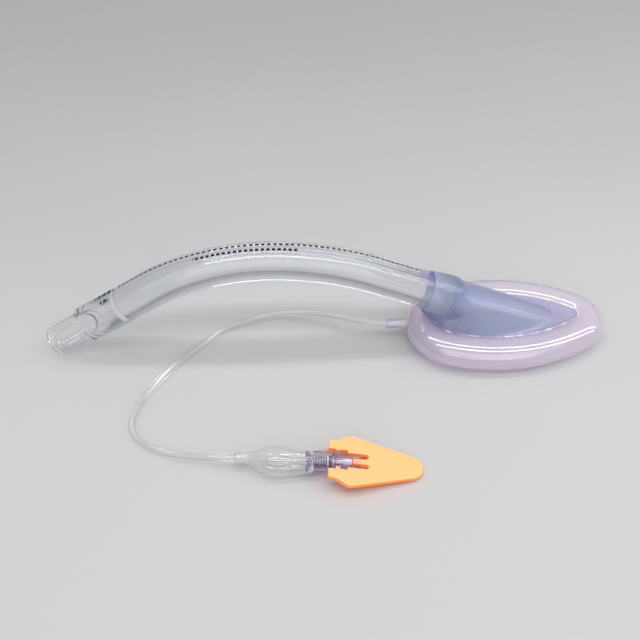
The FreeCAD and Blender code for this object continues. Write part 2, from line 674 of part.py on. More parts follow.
def tag_outline():
    """Half outline mirrored: arms, flowing shoulders, straight taper and round tip."""
    back = -TAG_ARM_REACH
    front = TAG_LENGTH - TAG_ARM_REACH
    shoulder = back + TAG_SHOULDER
    arm = TAG_ARM_WIDTH / 2
    half = TAG_WIDTH / 2
    corner = TAG_CORNER
    centre = Vector(front - TAG_TIP_ROUND, 0, 0)
    leave = Vector(shoulder + TAG_FLOW_SHOULDER, half - TAG_FLOW_FALL, 0)
    reach = leave - centre
    lean = math.acos(TAG_TIP_ROUND / reach.Length)
    angle = math.atan2(reach.y, reach.x) - lean
    touch = centre + Vector(math.cos(angle), math.sin(angle), 0) * TAG_TIP_ROUND
    flow = Part.BSplineCurve()
    rise = (half - TAG_FLOW_RISE - arm) * TAG_FLOW_EASE
    flow.interpolate(
        [Vector(back + corner, arm, 0), Vector(back + TAG_FLOW_ARM, arm + rise, 0),
         Vector(shoulder - TAG_FLOW_SHOULDER, half - TAG_FLOW_RISE, 0), Vector(shoulder, half, 0), leave],
        InitialTangent=Vector(1, 0, 0), FinalTangent=touch - leave,
    )
    turn = corner * (1 - math.sqrt(0.5))
    upper = [
        Part.Arc(Vector(back, arm - corner, 0), Vector(back + turn, arm - turn, 0),
                 Vector(back + corner, arm, 0)).toShape(),
        flow.toShape(),
        Part.LineSegment(leave, touch).toShape(),
    ]
    lower = [edge.mirror(Vector(0, 0, 0), Vector(0, 1, 0)) for edge in upper]
    tip = Part.Arc(touch, Vector(front, 0, 0), Vector(touch.x, -touch.y, 0)).toShape()
    heel = Part.LineSegment(Vector(back, arm - corner, 0), Vector(back, corner - arm, 0)).toShape()
    edges = upper + [tip] + lower + [heel]
    return Part.Wire(Part.__sortEdges__(edges))


def vent_tag():
    """Flat tab with two arms beside the valve, slots for the luer's wall, tongue and two nubs."""
    half = TAG_THICKNESS / 2
    plate = Part.Face(tag_outline()).extrude(Vector(0, 0, TAG_THICKNESS))
    plate.translate(Vector(0, 0, -half))
    plate = rounded_edges(plate, TAG_EDGE_ROUND, lambda edge: abs(edge.BoundBox.ZMax - half) < 1e-6
                          and abs(edge.BoundBox.ZMin - half) < 1e-6)
    notch = Part.makeBox(
        TAG_ARM_REACH + TAG_NOTCH_FRONT + CLEAR, TAG_NOTCH_WIDTH, 3 * TAG_THICKNESS,
        Vector(-TAG_ARM_REACH - CLEAR, -TAG_NOTCH_WIDTH / 2, -1.5 * TAG_THICKNESS),
    )
    slot = (TAG_SLOT_WIDTH - TAG_TONGUE_WIDTH) / 2
    gap = Part.makeBox(
        TAG_SLOT_FRONT - slot / 2 - TAG_NOTCH_FRONT + CLEAR, TAG_SLOT_WIDTH, 3 * TAG_THICKNESS,
        Vector(TAG_NOTCH_FRONT - CLEAR, -TAG_SLOT_WIDTH / 2, -1.5 * TAG_THICKNESS),
    )
    cuts = [notch, gap]
    for side in (-1, 1):
        spot = Vector(TAG_SLOT_FRONT - slot / 2, side * (TAG_SLOT_WIDTH - slot) / 2, -1.5 * TAG_THICKNESS)
        cuts.append(Part.makeCylinder(slot / 2, 3 * TAG_THICKNESS, spot))
    plate = plate.cut(cuts)
    tongue_tip = HEAD_FRONT - VALVE_BODY_LENGTH - VALVE_LUER_LENGTH + TAG_TONGUE_GAP
    tongue = Part.makeBox(
        TAG_SLOT_FRONT + TAG_TONGUE_BITE - tongue_tip, TAG_TONGUE_WIDTH, TAG_TONGUE_THICKNESS,
        Vector(tongue_tip, -TAG_TONGUE_WIDTH / 2, -TAG_TONGUE_THICKNESS / 2),
    )
    plate = plate.fuse(tongue)
    wall = TAG_NOTCH_WIDTH / 2
    for side in (-1, 1):
        lean = TAG_NUB_TOP / 3
        profile = [
            (wall + TAG_NUB_FOOT, half - lean / 3),
            (wall + TAG_NUB_BROW * TAG_NUB_FOOT, half + TAG_NUB_TOP),
            (wall, half + TAG_NUB_TOP),
            (wall - TAG_NUB_OVERHANG, half + 2 * lean),
            (wall - TAG_NUB_OVERHANG, half + lean),
            (wall, half - 2 * lean),
            (wall + TAG_NUB_BROW * TAG_NUB_FOOT, half - 2 * lean),
        ]
        points = [Vector(-TAG_NUB_BACK - TAG_NUB / 2, side * y, z) for y, z in profile]
        nub = Part.Face(Part.makePolygon(points + points[:1])).extrude(Vector(TAG_NUB, 0, 0))
        plate = plate.fuse(nub)
    pivot = Vector(TAG_PIVOT, 0, 0)
    askew = FreeCAD.Rotation(Vector(0, 0, 1), -TAG_TWIST_DEG).multiply(
        FreeCAD.Rotation(Vector(0, 1, 0), TAG_TILT_DEG))
    hang = FreeCAD.Placement(pivot - askew.multVec(pivot) + Vector(VALVE_FRONT, 0, 0), askew)
    plate.Placement = hang
    return on_pilot(plate)


def inflation_line():
    """Line from inside the cuff's port to inside the balloon's sleeve: runs joined by tangent arcs."""
    height = CUFF_B + PORT_RAISE
    port_mouth = Vector(CUFF_HEEL_X - CUFF_A - PORT_LENGTH, 0, height)
    start = port_mouth + Vector(LINE_IN_PORT, 0, 0)
    heading = PILOT_TURN.multVec(Vector(1, 0, 0))
    sleeve = PILOT_PLACE.multVec(SLEEVE_START)
    route = [Vector(*point) for point in LINE_ROUTE]
    points = [start] + route + [sleeve - heading * LINE_STRAIGHT, sleeve + heading * LINE_IN_SLEEVE]
    edges = []
    here = points[0]
    radii = []
    for before, corner, after in zip(points, points[1:], points[2:]):
        back = (before - corner).normalize()
        on = (after - corner).normalize()
        half_turn = (math.pi - back.getAngle(on)) / 2
        trim = LINE_TRIM * min((before - corner).Length, (after - corner).Length)
        radius = trim / math.tan(half_turn)
        radii.append(radius)
        bisector = (back + on).normalize()
        middle = corner + bisector * (radius / math.cos(half_turn) - radius)
        enter, leave = corner + back * trim, corner + on * trim
        edges.append(Part.LineSegment(here, enter).toShape())
        edges.append(Part.Arc(enter, middle, leave).toShape())
        here = leave
    edges.append(Part.LineSegment(here, points[-1]).toShape())
    tube = swept(edges, LINE_OD / 2)
    length = sum(edge.Length for edge in edges)
    expected = length * math.pi * (LINE_OD / 2) ** 2
    print("inflation line: length %.1f mm, volume %.1f of %.1f" % (length, tube.Volume, expected))
    print("inflation line radii:", " ".join("%.0f" % radius for radius in radii))
    return tube


PIECES = {
    "airway_tube": airway_tube,
    "tube_connector": tube_connector,
    "mask_backplate": mask_backplate,
    "mask_cuff": mask_cuff,
    "inflation_line": inflation_line,
    "pilot_balloon": pilot_balloon,
    "valve_housing": valve_housing,
    "valve_base": valve_base,
    "valve_spring": valve_spring,
    "valve_plunger": valve_plunger,
    "valve_seal": valve_seal,
    "vent_tag": vent_tag,
}

os.makedirs("parts", exist_ok=True)
for name, build in PIECES.items():
    solid = build()
    solid.exportStep("parts/%s.step" % name)
    print("%-16s valid %s, solids %d" % (name, solid.isValid(), len(solid.Solids)), end=", ")
    print("volume %.1f mm3" % solid.Volume)
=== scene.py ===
"""A laryngeal mask airway on a pale bench, with its inflation line, pilot balloon and vent tag."""

# %% [markdown]
# The object is a curved clear breathing tube. One end has the cone that a breathing circuit pushes
# on, the other a soft mask with an inflated rim. A thin line runs from the rim to a pilot balloon
# with a spring valve, and an orange tag keeps that valve open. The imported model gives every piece
# its place, so the first step loads it, and each new piece stands exactly where its solid is.

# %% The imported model
import math

import bmesh
import bpy
from mathutils import Matrix, Vector, noise


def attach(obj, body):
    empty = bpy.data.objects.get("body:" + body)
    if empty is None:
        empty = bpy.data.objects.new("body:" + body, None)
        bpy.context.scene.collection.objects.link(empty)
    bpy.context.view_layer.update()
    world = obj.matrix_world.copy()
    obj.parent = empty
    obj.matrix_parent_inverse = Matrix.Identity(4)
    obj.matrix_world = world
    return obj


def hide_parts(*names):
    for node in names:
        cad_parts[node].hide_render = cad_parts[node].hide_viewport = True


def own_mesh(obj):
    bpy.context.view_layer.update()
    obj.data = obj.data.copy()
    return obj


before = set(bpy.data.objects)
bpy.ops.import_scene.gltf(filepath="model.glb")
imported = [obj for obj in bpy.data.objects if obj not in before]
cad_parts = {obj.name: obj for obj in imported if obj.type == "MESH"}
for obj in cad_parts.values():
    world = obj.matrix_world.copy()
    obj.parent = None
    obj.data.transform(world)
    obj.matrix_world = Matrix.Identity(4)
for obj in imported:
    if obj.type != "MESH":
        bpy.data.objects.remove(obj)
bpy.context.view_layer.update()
print("solids", sorted(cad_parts))

# %% [markdown]
# The camera looks down at 46 degrees from the front. Its place and its focal length are written in
# the part's own coordinates, so the object keeps the place in the picture that it has in the photo.

# %% Camera
MM = 0.001
UP = Vector((0, 0, 1))
PHOTO_PIXELS = 640
FOCAL_PIXELS = 950
SENSOR_MM = 36
CAMERA_PLACE = Vector((-19.3, -332.2, 358.9)) * MM
CAMERA_TARGET = Vector((-3.55, 14.1, 0)) * MM

camera = bpy.data.objects.new("camera", bpy.data.cameras.new("camera"))
bpy.context.scene.collection.objects.link(camera)
camera.data.sensor_width = SENSOR_MM
camera.data.lens = SENSOR_MM * FOCAL_PIXELS / PHOTO_PIXELS
camera.location = CAMERA_PLACE
camera.rotation_euler = (CAMERA_TARGET - CAMERA_PLACE).to_track_quat("-Z", "Y").to_euler()
bpy.context.scene.camera = camera
print("lens", round(camera.data.lens, 2), "mm")

# %% [markdown]
# Materials are written as arithmetic. A Signal is one number that changes over a surface, and plus,
# minus, times, remainder or a comparison on it adds the Math node.

# %% Signals
class Signal:
    """A socket whose value changes over the surface, with Python's operators for its arithmetic."""

    def __init__(self, finish, socket):
        self.finish = finish
        self.socket = socket

    def math(self, operation, *values):
        return self.finish.node("ShaderNodeMath", {"operation": operation}, dict(enumerate(values)))

    def __add__(self, other):
        return self.math("ADD", self, other)

    def __sub__(self, other):
        return self.math("SUBTRACT", self, other)

    def __rsub__(self, other):
        return self.math("SUBTRACT", other, self)

    def __mul__(self, other):
        return self.math("MULTIPLY", self, other)

    def __mod__(self, other):
        return self.math("FLOORED_MODULO", self, other)

    def __gt__(self, other):
        return self.math("GREATER_THAN", self, other)

    def __lt__(self, other):
        return self.math("LESS_THAN", self, other)

    __radd__ = __add__
    __rmul__ = __mul__


# %% [markdown]
# A Finish is the tree of nodes of one material. Every node comes from Finish.node, which takes the
# node's type, its settings and what feeds its sockets.
#
# Clear plastic throws light to and fro inside its walls, and a renderer that gives up on such light
# leaves black patches. So light that has been mirrored too often, or has travelled through too many
# walls, is let straight out through a tint that stands for what it would have met. That tint is
# painted shade, a grey that draws the edges of clear pieces darker, or a paler painted light for
# some pieces.

# %% Finishes
MOST_THROWS = 2.5
MOST_STEPS = 8.5
# Painted shade and painted light: tints for light that is let out, standing in for what it would
# have met.
PAINTED_LET_OUT_SHADE = (0.62, 0.65, 0.69, 1)
BRIGHT_LET_OUT = (0.93, 0.92, 0.93, 1)


class Finish:
    """A material or a world made of nodes."""

    def __init__(self, name, shelf="materials"):
        self.owner = getattr(bpy.data, shelf).new(name)
        self.owner.use_nodes = True
        self.tree = self.owner.node_tree
        self.tree.nodes.clear()

    def node(self, kind, settings=None, inputs=None, out=0):
        made = self.tree.nodes.new(kind)
        for name, value in (settings or {}).items():
            setattr(made, name, value)
        for name, value in (inputs or {}).items():
            if isinstance(value, Signal):
                self.tree.links.new(value.socket, made.inputs[name])
            else:
                made.inputs[name].default_value = value
        return Signal(self, made.outputs[out]) if made.outputs else None

    def attribute(self, name):
        """A number that the piece's mesh carries on its corners."""
        return self.node("ShaderNodeAttribute", {"attribute_name": name}, out="Fac")

    def place(self):
        """The point on the piece, in the part's own coordinates."""
        return self.node("ShaderNodeTexCoord", out="Object")

    def grain(self, waves, detail=2.0):
        """Soft random variation with about this many waves in a metre."""
        inputs = {"Vector": self.place(), "Scale": waves, "Detail": detail}
        return self.node("ShaderNodeTexNoise", None, inputs)

    def coordinate(self, axis):
        return self.node("ShaderNodeSeparateXYZ", None, {0: self.place()}, out=axis)

    def ramp(self, value, low, high):
        """Nought below the first value, one above the second, smooth between them."""
        ends = {"Value": value, "From Min": low, "From Max": high}
        return self.node("ShaderNodeMapRange", {"interpolation_type": "SMOOTHSTEP"}, ends)

    def blend(self, share, first, second):
        """The first colour where the share is nought, the second where it is one."""
        colours = {"Factor": share, 6: first, 7: second}
        return self.node("ShaderNodeMix", {"data_type": "RGBA"}, colours, out=2)

    def bump(self, height, distance):
        return self.node("ShaderNodeBump", None, {"Height": height, "Distance": distance})

    def surface(self, **inputs):
        named = {name.replace("_", " "): value for name, value in inputs.items()}
        return self.node("ShaderNodeBsdfPrincipled", None, named)

    def absorbing(self, colour, density):
        """Plastic tinted all through, so that it looks deeper where the view crosses more of it."""
        return self.node("ShaderNodeVolumeAbsorption", None, {"Color": colour, "Density": density})

    def mixed(self, share, first, second):
        return self.node("ShaderNodeMixShader", None, {0: share, 1: first, 2: second})

    def see_through_shadow(self, shader, share, tint, let_out_tone=PAINTED_LET_OUT_SHADE):
        """Let this share of the lamps' light through, as a clear piece does, with no dark shadow.

        Light that has been thrown to and fro inside the wall many times is let out straight on."""
        shadow_ray = self.node("ShaderNodeLightPath", out="Is Shadow Ray")
        thrown = self.node("ShaderNodeLightPath", out="Glossy Depth") > MOST_THROWS
        travelled = self.node("ShaderNodeLightPath", out="Ray Depth") > MOST_STEPS
        clear = self.node("ShaderNodeBsdfTransparent", None, {"Color": tint})
        # The let-out tint is painted shade or painted light, standing in for what the light would
        # have met.
        let_out = self.node("ShaderNodeBsdfTransparent", None, {"Color": let_out_tone})
        usual = self.mixed(shadow_ray * share, shader, clear)
        return self.mixed(thrown + travelled, usual, let_out)

    def done(self, surface, volume=None, output="ShaderNodeOutputMaterial"):
        ends = {"Surface": surface, "Volume": volume} if volume else {"Surface": surface}
        self.node(output, None, ends)
        return self.owner


# %% [markdown]
# The bench is one wide pale sheet. Its colour is painted paler in front than at the back, a painted
# pool of light as from a lamp in front, and a slow random drift keeps that painted light from
# looking drawn.

# %% Bench
FLOOR_TONE = (0.45, 0.45, 0.452, 1)
FLOOR_PAINTED_LIGHT_TONE = (0.585, 0.585, 0.585, 1)
FLOOR_REACH = 3.0
FLOOR_BACK_Y = 0.42
FLOOR_FRONT_Y = -0.02
DRIFT_WAVES = 5.0
DRIFT_REACH = 0.1


def floor_material():
    finish = Finish("bench")
    distance = finish.coordinate("Y") + finish.grain(DRIFT_WAVES) * DRIFT_REACH
    # Painted light: the bench's colour is paler towards the front, standing in for a lamp's pool of
    # light.
    painted_light = 1 - finish.ramp(distance, FLOOR_FRONT_Y, FLOOR_BACK_Y)
    colour = finish.blend(painted_light, FLOOR_TONE, FLOOR_PAINTED_LIGHT_TONE)
    return finish.done(finish.surface(Base_Color=colour, Roughness=0.7, Specular_IOR_Level=0.3))


floor_mesh = bmesh.new()
bmesh.ops.create_grid(floor_mesh, x_segments=1, y_segments=1, size=FLOOR_REACH)
floor = bpy.data.objects.new("floor", bpy.data.meshes.new("floor"))
floor_mesh.to_mesh(floor.data)
floor_mesh.free()
floor.data.materials.append(floor_material())
bpy.context.scene.collection.objects.link(floor)
print("bench", 2 * FLOOR_REACH, "m across")

# %% [markdown]
# The light comes from a soft dome that is darker towards the horizon. A clear edge bends the view
# sideways and picks that darker band up, which is what draws its outline. The camera itself sees an
# even pale backdrop in its place, so that a low view doesn't show the band.

# %% Dome of light
DOME_TOP = 0.58
DOME_RIM = 0.27
DOME_RIM_HEIGHT = 0.05
DOME_TOP_HEIGHT = 0.75
DOME_TINT = (0.97, 0.98, 1.0, 1)
BACKDROP = 0.55

sky = Finish("dome", "worlds")
direction = sky.node("ShaderNodeTexCoord", out="Generated")
height = sky.node("ShaderNodeSeparateXYZ", None, {0: direction}, out="Z")
soft_light = sky.node("ShaderNodeMapRange", None, {
    "Value": height, "From Min": DOME_RIM_HEIGHT, "From Max": DOME_TOP_HEIGHT,
    "To Min": DOME_RIM, "To Max": DOME_TOP})
seen = sky.node("ShaderNodeLightPath", out="Is Camera Ray")
strength = sky.node("ShaderNodeMix", None, {0: seen, 2: soft_light, 3: BACKDROP})
background = sky.node("ShaderNodeBackground", None, {"Color": DOME_TINT, "Strength": strength})
bpy.context.scene.world = sky.done(background, output="ShaderNodeOutputWorld")
print("dome", DOME_RIM, "to", DOME_TOP)

# %% [markdown]
# Two long narrow lamps hang over the airway and run along it, so each one draws a bright line along
# the tube and along the cuff. They reach far past the mask, which carries their lines round its
# tip. A large weak lamp in front opens up the shadows.

# %% Lamps
LAMP_LENGTH = 3.4
LAMP_WIDTH = 0.11
LAMP_POWER = 8.4
LAMP_MIDDLE_X = 1.05
LAMP_HEIGHT = 1.1
LAMP_FRONT_Y = -0.34
LAMP_BACK_Y = 0.12
AIM_HEIGHT = 0.02
FILL_PLACE = (0.0, -1.3, 0.75)
FILL_SIZE = (2.0, 1.1)
FILL_POWER = 4.5


def lamp(name, place, aim, size, power):
    light = bpy.data.lights.new(name, "AREA")
    light.shape = "RECTANGLE"
    light.size, light.size_y = size
    light.energy = power
    holder = bpy.data.objects.new(name, light)
    holder.location = place
    holder.rotation_euler = (Vector(aim) - Vector(place)).to_track_quat("-Z", "Y").to_euler()
    bpy.context.scene.collection.objects.link(holder)
    print(name, power, "W")


for name, y in (("lamp_front", LAMP_FRONT_Y), ("lamp_back", LAMP_BACK_Y)):
    lamp(name, (LAMP_MIDDLE_X, y, LAMP_HEIGHT), (LAMP_MIDDLE_X, 0, AIM_HEIGHT),
         (LAMP_LENGTH, LAMP_WIDTH), LAMP_POWER)
lamp("lamp_fill", FILL_PLACE, (0, 0, AIM_HEIGHT), FILL_SIZE, FILL_POWER)
bpy.context.scene.view_settings.view_transform = "Standard"

# %% [markdown]
# Most pieces are either swept or turned. A sweep starts from one ring of edges and extrudes it from
# station to station, and each extruded ring is carried by a matrix that also stretches it. It keeps
# the distance along the piece and the angle around it as numbers on the mesh, for patterns that
# follow the surface.

# %% Swept shapes
def station(point, tangent, half_width, half_height):
    """Matrix that carries a unit ring in the plane x = 0 to a place on a path."""
    side = UP.cross(tangent).normalized()
    top = tangent.cross(side)
    carried = Matrix((tangent, side * half_width, top * half_height)).transposed().to_4x4()
    carried.translation = point
    return carried


def stations(points, half_width, half_height, closed=False):
    """Stations at all points of a path, each square to the path there."""
    last = len(points) - 1
    rows = []
    for k, point in enumerate(points):
        before = points[k - 1] if closed or k else point
        after = points[(k + 1) % len(points)] if closed or k < last else point
        rows.append(station(point, (after - before).normalized(), half_width, half_height))
    return rows


def sweep(mesh, rows, sides, closed=False):
    """Skin over the stations, marked with length and angle. Returns its first and last rings."""
    along = mesh.verts.layers.float.get("along") or mesh.verts.layers.float.new("along")
    around = mesh.verts.layers.float.get("around") or mesh.verts.layers.float.new("around")
    upright = Matrix.Rotation(math.pi / 2, 4, "Y")
    corners = bmesh.ops.create_circle(mesh, segments=sides, radius=1.0, matrix=upright)["verts"]
    for corner in corners:
        corner[around] = 180 + math.degrees(math.atan2(-corner.co.y, corner.co.z))
    first = list({edge for corner in corners for edge in corner.link_edges})
    bmesh.ops.transform(mesh, matrix=rows[0], verts=corners)
    ring = first
    travelled = 0.0
    for before, after in zip(rows, rows[1:]):
        made = bmesh.ops.extrude_edge_only(mesh, edges=ring)["geom"]
        corners = [item for item in made if isinstance(item, bmesh.types.BMVert)]
        chosen = set(corners)
        ring = [item for item in made if isinstance(item, bmesh.types.BMEdge)
                and item.verts[0] in chosen and item.verts[1] in chosen]
        bmesh.ops.transform(mesh, matrix=after @ before.inverted(), verts=corners)
        travelled += (after.translation - before.translation).length
        for corner in corners:
            corner[along] = travelled
    if closed:
        bmesh.ops.bridge_loops(mesh, edges=first + ring)
    return first, ring


# %% [markdown]
# A turned piece is a profile spun about its axis, as a mould for a round piece is cut. Its corners
# are merged, because the profile may touch the axis, and its sharp edges are rounded a little, so
# that they catch the light.

# %% Turned shapes
SMOOTH_BELOW = math.radians(32)
WELD_REACH = 1e-6
SLIVER = 1e-7
ROUND_STEPS = 72
SMALL_ROUND_STEPS = 48


def is_sharp(edge):
    """True where two faces meet too sharply to be shaded as one."""
    return edge.is_manifold and edge.calc_face_angle() > SMOOTH_BELOW


def turned(profile, place, steps=ROUND_STEPS, edge_round=0.0, closed=True):
    """Mesh of a profile of (distance along the axis, radius) pairs spun about +X, then placed."""
    mesh = bmesh.new()
    corners = [mesh.verts.new((x, 0, r)) for x, r in profile]
    following = corners[1:] + corners[:1] if closed else corners[1:]
    edges = [mesh.edges.new(pair) for pair in zip(corners, following)]
    bmesh.ops.spin(mesh, geom=corners + edges, cent=(0, 0, 0), axis=(1, 0, 0), dvec=(0, 0, 0),
                   angle=2 * math.pi, steps=steps, use_merge=True)
    bmesh.ops.remove_doubles(mesh, verts=mesh.verts, dist=WELD_REACH)
    bmesh.ops.dissolve_degenerate(mesh, dist=SLIVER, edges=mesh.edges)
    bmesh.ops.recalc_face_normals(mesh, faces=mesh.faces)
    if edge_round:
        sharp = [edge for edge in mesh.edges if is_sharp(edge)]
        bmesh.ops.bevel(mesh, geom=sharp, offset=edge_round, offset_type="OFFSET", segments=2,
                        profile=0.5, affect="EDGES", material=-1)
    bmesh.ops.transform(mesh, matrix=place, verts=mesh.verts)
    return mesh


# %% [markdown]
# Every piece ends the same way. It gets its material, rides on the body that it moves with, and
# hides the solid that it stands in for, if it has one.

# %% Finished pieces
def piece(name, mesh, material, body, node=None):
    """Make an object of a mesh, smooth it up to its sharp edges and let it ride on its body."""
    for face in mesh.faces:
        face.smooth = True
    for edge in mesh.edges:
        if edge.is_manifold:
            edge.smooth = edge.calc_face_angle() < SMOOTH_BELOW
    made = bpy.data.objects.new(name, bpy.data.meshes.new(name))
    mesh.to_mesh(made.data)
    mesh.free()
    made.data.materials.append(material)
    bpy.context.scene.collection.objects.link(made)
    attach(made, body)
    if node:
        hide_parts(node)
    print(name, len(made.data.polygons), "faces")
    return made


# %% [markdown]
# The inflation line is soft tubing that was wound in its packet, so it lies in one wide loop. Its
# points are those that the solid follows, and a NURBS spline makes them one smooth curve. The bore
# is modelled too, because it is what draws the light and dark bands on the line.

# %% The line's route
LINE_RADIUS = 1.6 * MM
LINE_BORE = 0.85 * MM
LINE_SIDES = 24
LINE_EXIT = Vector((29.4, 0, 10.4)) * MM
LINE_ROUTE = [
    (35.4, 0.0, 10.4),
    (23.6, 0.0, 10.4),
    (11.8, 5.2, 9.6),
    (0.4, 10.6, 7.9),
    (-11.8, 15.2, 5.6),
    (-24.6, 17.0, 3.9),
    (-37.0, 14.9, 2.7),
    (-48.0, 10.8, 2.0),
    (-57.4, 4.8, 1.7),
    (-66.2, -2.8, 1.65),
    (-74.6, -11.9, 1.65),
    (-82.4, -21.7, 1.65),
    (-89.3, -31.9, 1.65),
    (-94.3, -42.4, 1.65),
    (-96.4, -52.2, 1.65),
    (-93.0, -60.5, 1.65),
    (-85.2, -66.4, 1.7),
    (-75.6, -70.8, 2.3),
    (-65.4, -73.5, 3.7),
    (-57.8, -75.1, 5.2),
    (-50.885, -76.436, 6.3),
    (-40.204, -77.071, 6.3),
]


def spline_points(route, resolution=10):
    """Points read from the NURBS spline whose control points are the route's."""
    curve = bpy.data.curves.new("route", "CURVE")
    curve.dimensions = "3D"
    spline = curve.splines.new("NURBS")
    spline.points.add(len(route) - 1)
    for control, point in zip(spline.points, route):
        control.co = (*(Vector(point) * MM), 1)
    spline.order_u = 3
    spline.use_endpoint_u = True
    spline.resolution_u = resolution
    holder = bpy.data.objects.new("route", curve)
    read = bpy.data.meshes.new_from_object(holder)
    points = [corner.co.copy() for corner in read.vertices]
    bpy.data.objects.remove(holder)
    bpy.data.curves.remove(curve)
    bpy.data.meshes.remove(read)
    return points


line_points = spline_points(LINE_ROUTE)
print("line", len(line_points), "points,",
      round(sum((b - a).length for a, b in zip(line_points, line_points[1:])), 4), "m")

# %% [markdown]
# Clear plastic is one Principled surface that lets all light through, over a faint ripple. Where a
# row of dashes is printed on it, a mask that is one inside the dashes mixes black ink in. The mask
# reads the distance along the piece and the angle around it, which the sweep left on the mesh.

# %% Clear plastic and ink
INK = (0.012, 0.012, 0.016, 1)
CLEAR_SHADOW = (0.93, 0.935, 0.95, 1)
RIPPLE_WAVES = 260.0
RIPPLE_DEPTH = 0.00003


def ink_rows(finish, rows):
    """One where a row of dashes is printed, nought elsewhere."""
    along = finish.attribute("along")
    around = finish.attribute("around")
    ink = 0.0
    for angle, half, start, end, period, dash in rows:
        across = (around > angle - half) * (around < angle + half)
        lengthwise = (along > start) * (along < end) * (along % period < dash)
        ink = across * lengthwise + ink
    return ink


def clear_soft(name, tint, roughness=0.04, ior=1.5, shadow=0.75, wave=RIPPLE_DEPTH, printed=(),
               let_out=PAINTED_LET_OUT_SHADE):
    """Clear plastic. Printed rows are (angle, half width in degrees, start, end, period, dash)."""
    finish = Finish(name)
    ripple = finish.bump(finish.grain(RIPPLE_WAVES, 1.0), wave)
    surface = finish.surface(
        Base_Color=tint, Roughness=roughness, IOR=ior, Transmission_Weight=1.0, Normal=ripple)
    if printed:
        black = finish.surface(Base_Color=INK, Roughness=0.6, Specular_IOR_Level=0.1)
        surface = finish.mixed(ink_rows(finish, printed), surface, black)
    return finish.done(finish.see_through_shadow(surface, shadow, CLEAR_SHADOW, let_out))


# %% [markdown]
# The line is a hollow sweep: two skins that are joined at both ends. It is very smooth, so it has
# no ripple.

# %% Inflation line
def hollow(mesh, outer, inner, sides):
    """Two skins joined at their ends, so that the wall is closed."""
    out_first, out_last = sweep(mesh, outer, sides)
    in_first, in_last = sweep(mesh, inner, sides)
    bmesh.ops.bridge_loops(mesh, edges=out_first + in_first)
    bmesh.ops.bridge_loops(mesh, edges=out_last + in_last)
    bmesh.ops.recalc_face_normals(mesh, faces=mesh.faces)


LINE_FINISH = clear_soft("clear_line", (0.99, 0.985, 0.985, 1), wave=0.0, let_out=BRIGHT_LET_OUT)
line_mesh = bmesh.new()
hollow(line_mesh, stations(line_points, LINE_RADIUS, LINE_RADIUS),
       stations(line_points, LINE_BORE, LINE_BORE), LINE_SIDES)
line = piece(
    "inflation_line_tubing", line_mesh, LINE_FINISH, "airway", "inflation_line")

# %% [markdown]
# The breathing tube is one long extrusion of clear, slightly soft plastic, bent while warm. Its
# axis is a straight run, two arcs that share a tangent and another straight run.

# %% The tube's axis
TUBE_RISE = math.radians(33.4)
TUBE_FALL = math.radians(23.6)
TUBE_CREST = math.radians(-2.7)
TUBE_RADIUS = 9.2 * MM
TUBE_BORE = 6.7 * MM
TUBE_SIDES = 96
TUBE_STEP = 2 * MM
MOUTH = Vector((-136.945, 0, 6.291)) * MM
CONE_LENGTH = 19.7 * MM
COLLAR_THICKNESS = 2.6 * MM
STRAIGHT_PROXIMAL = 36 * MM
BEND_TIGHT = 106 * MM
BEND_WIDE = 136 * MM
STRAIGHT_DISTAL = 26.4 * MM
SOCKET_DEPTH = 14.5 * MM


def polar(angle):
    return Vector((math.cos(angle), 0, math.sin(angle)))


def run(points, heading, length):
    steps = max(1, round(length / TUBE_STEP))
    start = points[-1]
    points += [start + polar(heading) * (length * (k + 1) / steps) for k in range(steps)]


def bend(points, heading, new_heading, radius):
    steps = max(1, round(radius * abs(heading - new_heading) / TUBE_STEP))
    centre = points[-1] - polar(heading + math.pi / 2) * radius
    for k in range(steps):
        turn = heading + (new_heading - heading) * (k + 1) / steps
        points.append(centre + polar(turn + math.pi / 2) * radius)


TUBE_START = MOUTH + polar(TUBE_RISE) * (CONE_LENGTH + COLLAR_THICKNESS)
tube_axis = [TUBE_START]
run(tube_axis, TUBE_RISE, STRAIGHT_PROXIMAL)
bend(tube_axis, TUBE_RISE, TUBE_CREST, BEND_TIGHT)
bend(tube_axis, TUBE_CREST, -TUBE_FALL, BEND_WIDE)
run(tube_axis, -TUBE_FALL, STRAIGHT_DISTAL)
TUBE_RIM = tube_axis[-1].copy()
run(tube_axis, -TUBE_FALL, SOCKET_DEPTH)
print("tube axis", len(tube_axis), "points")

# %% [markdown]
# The tube is swept along that axis, outside and inside. Plain dashes in rows stand where the real
# tube is printed. The bore carries an angle that no row has, so that nothing prints on it.

# %% Breathing tube
PRINTED_ROWS = [
    (170, 4.6, 0.026, 0.172, 0.0026, 0.0016),
    (192, 4.0, 0.066, 0.112, 0.0024, 0.0015),
    (170, 7.0, 0.011, 0.023, 0.0032, 0.0021),
    (148, 4.0, 0.070, 0.100, 0.0018, 0.0010),
]
SPIGOT_LENGTH = 19.4 * MM
BORE_MARK = 400.0


def tube_skins():
    """Outer skin over the whole tube, inner skin from the spigot's end on, joined at the rim."""
    mesh = bmesh.new()
    _, out_last = sweep(mesh, stations(tube_axis, TUBE_RADIUS, TUBE_RADIUS), TUBE_SIDES)
    outside = set(mesh.verts)
    heading = polar(TUBE_RISE)
    bore_start = TUBE_START + heading * SPIGOT_LENGTH
    beyond = [point for point in tube_axis if (point - bore_start).dot(heading) > TUBE_STEP / 4]
    _, in_last = sweep(mesh, stations([bore_start] + beyond, TUBE_BORE, TUBE_BORE), TUBE_SIDES)
    around = mesh.verts.layers.float["around"]
    for corner in mesh.verts:
        if corner not in outside:
            corner[around] = BORE_MARK
    bmesh.ops.bridge_loops(mesh, edges=out_last + in_last)
    bmesh.ops.recalc_face_normals(mesh, faces=mesh.faces)
    return mesh


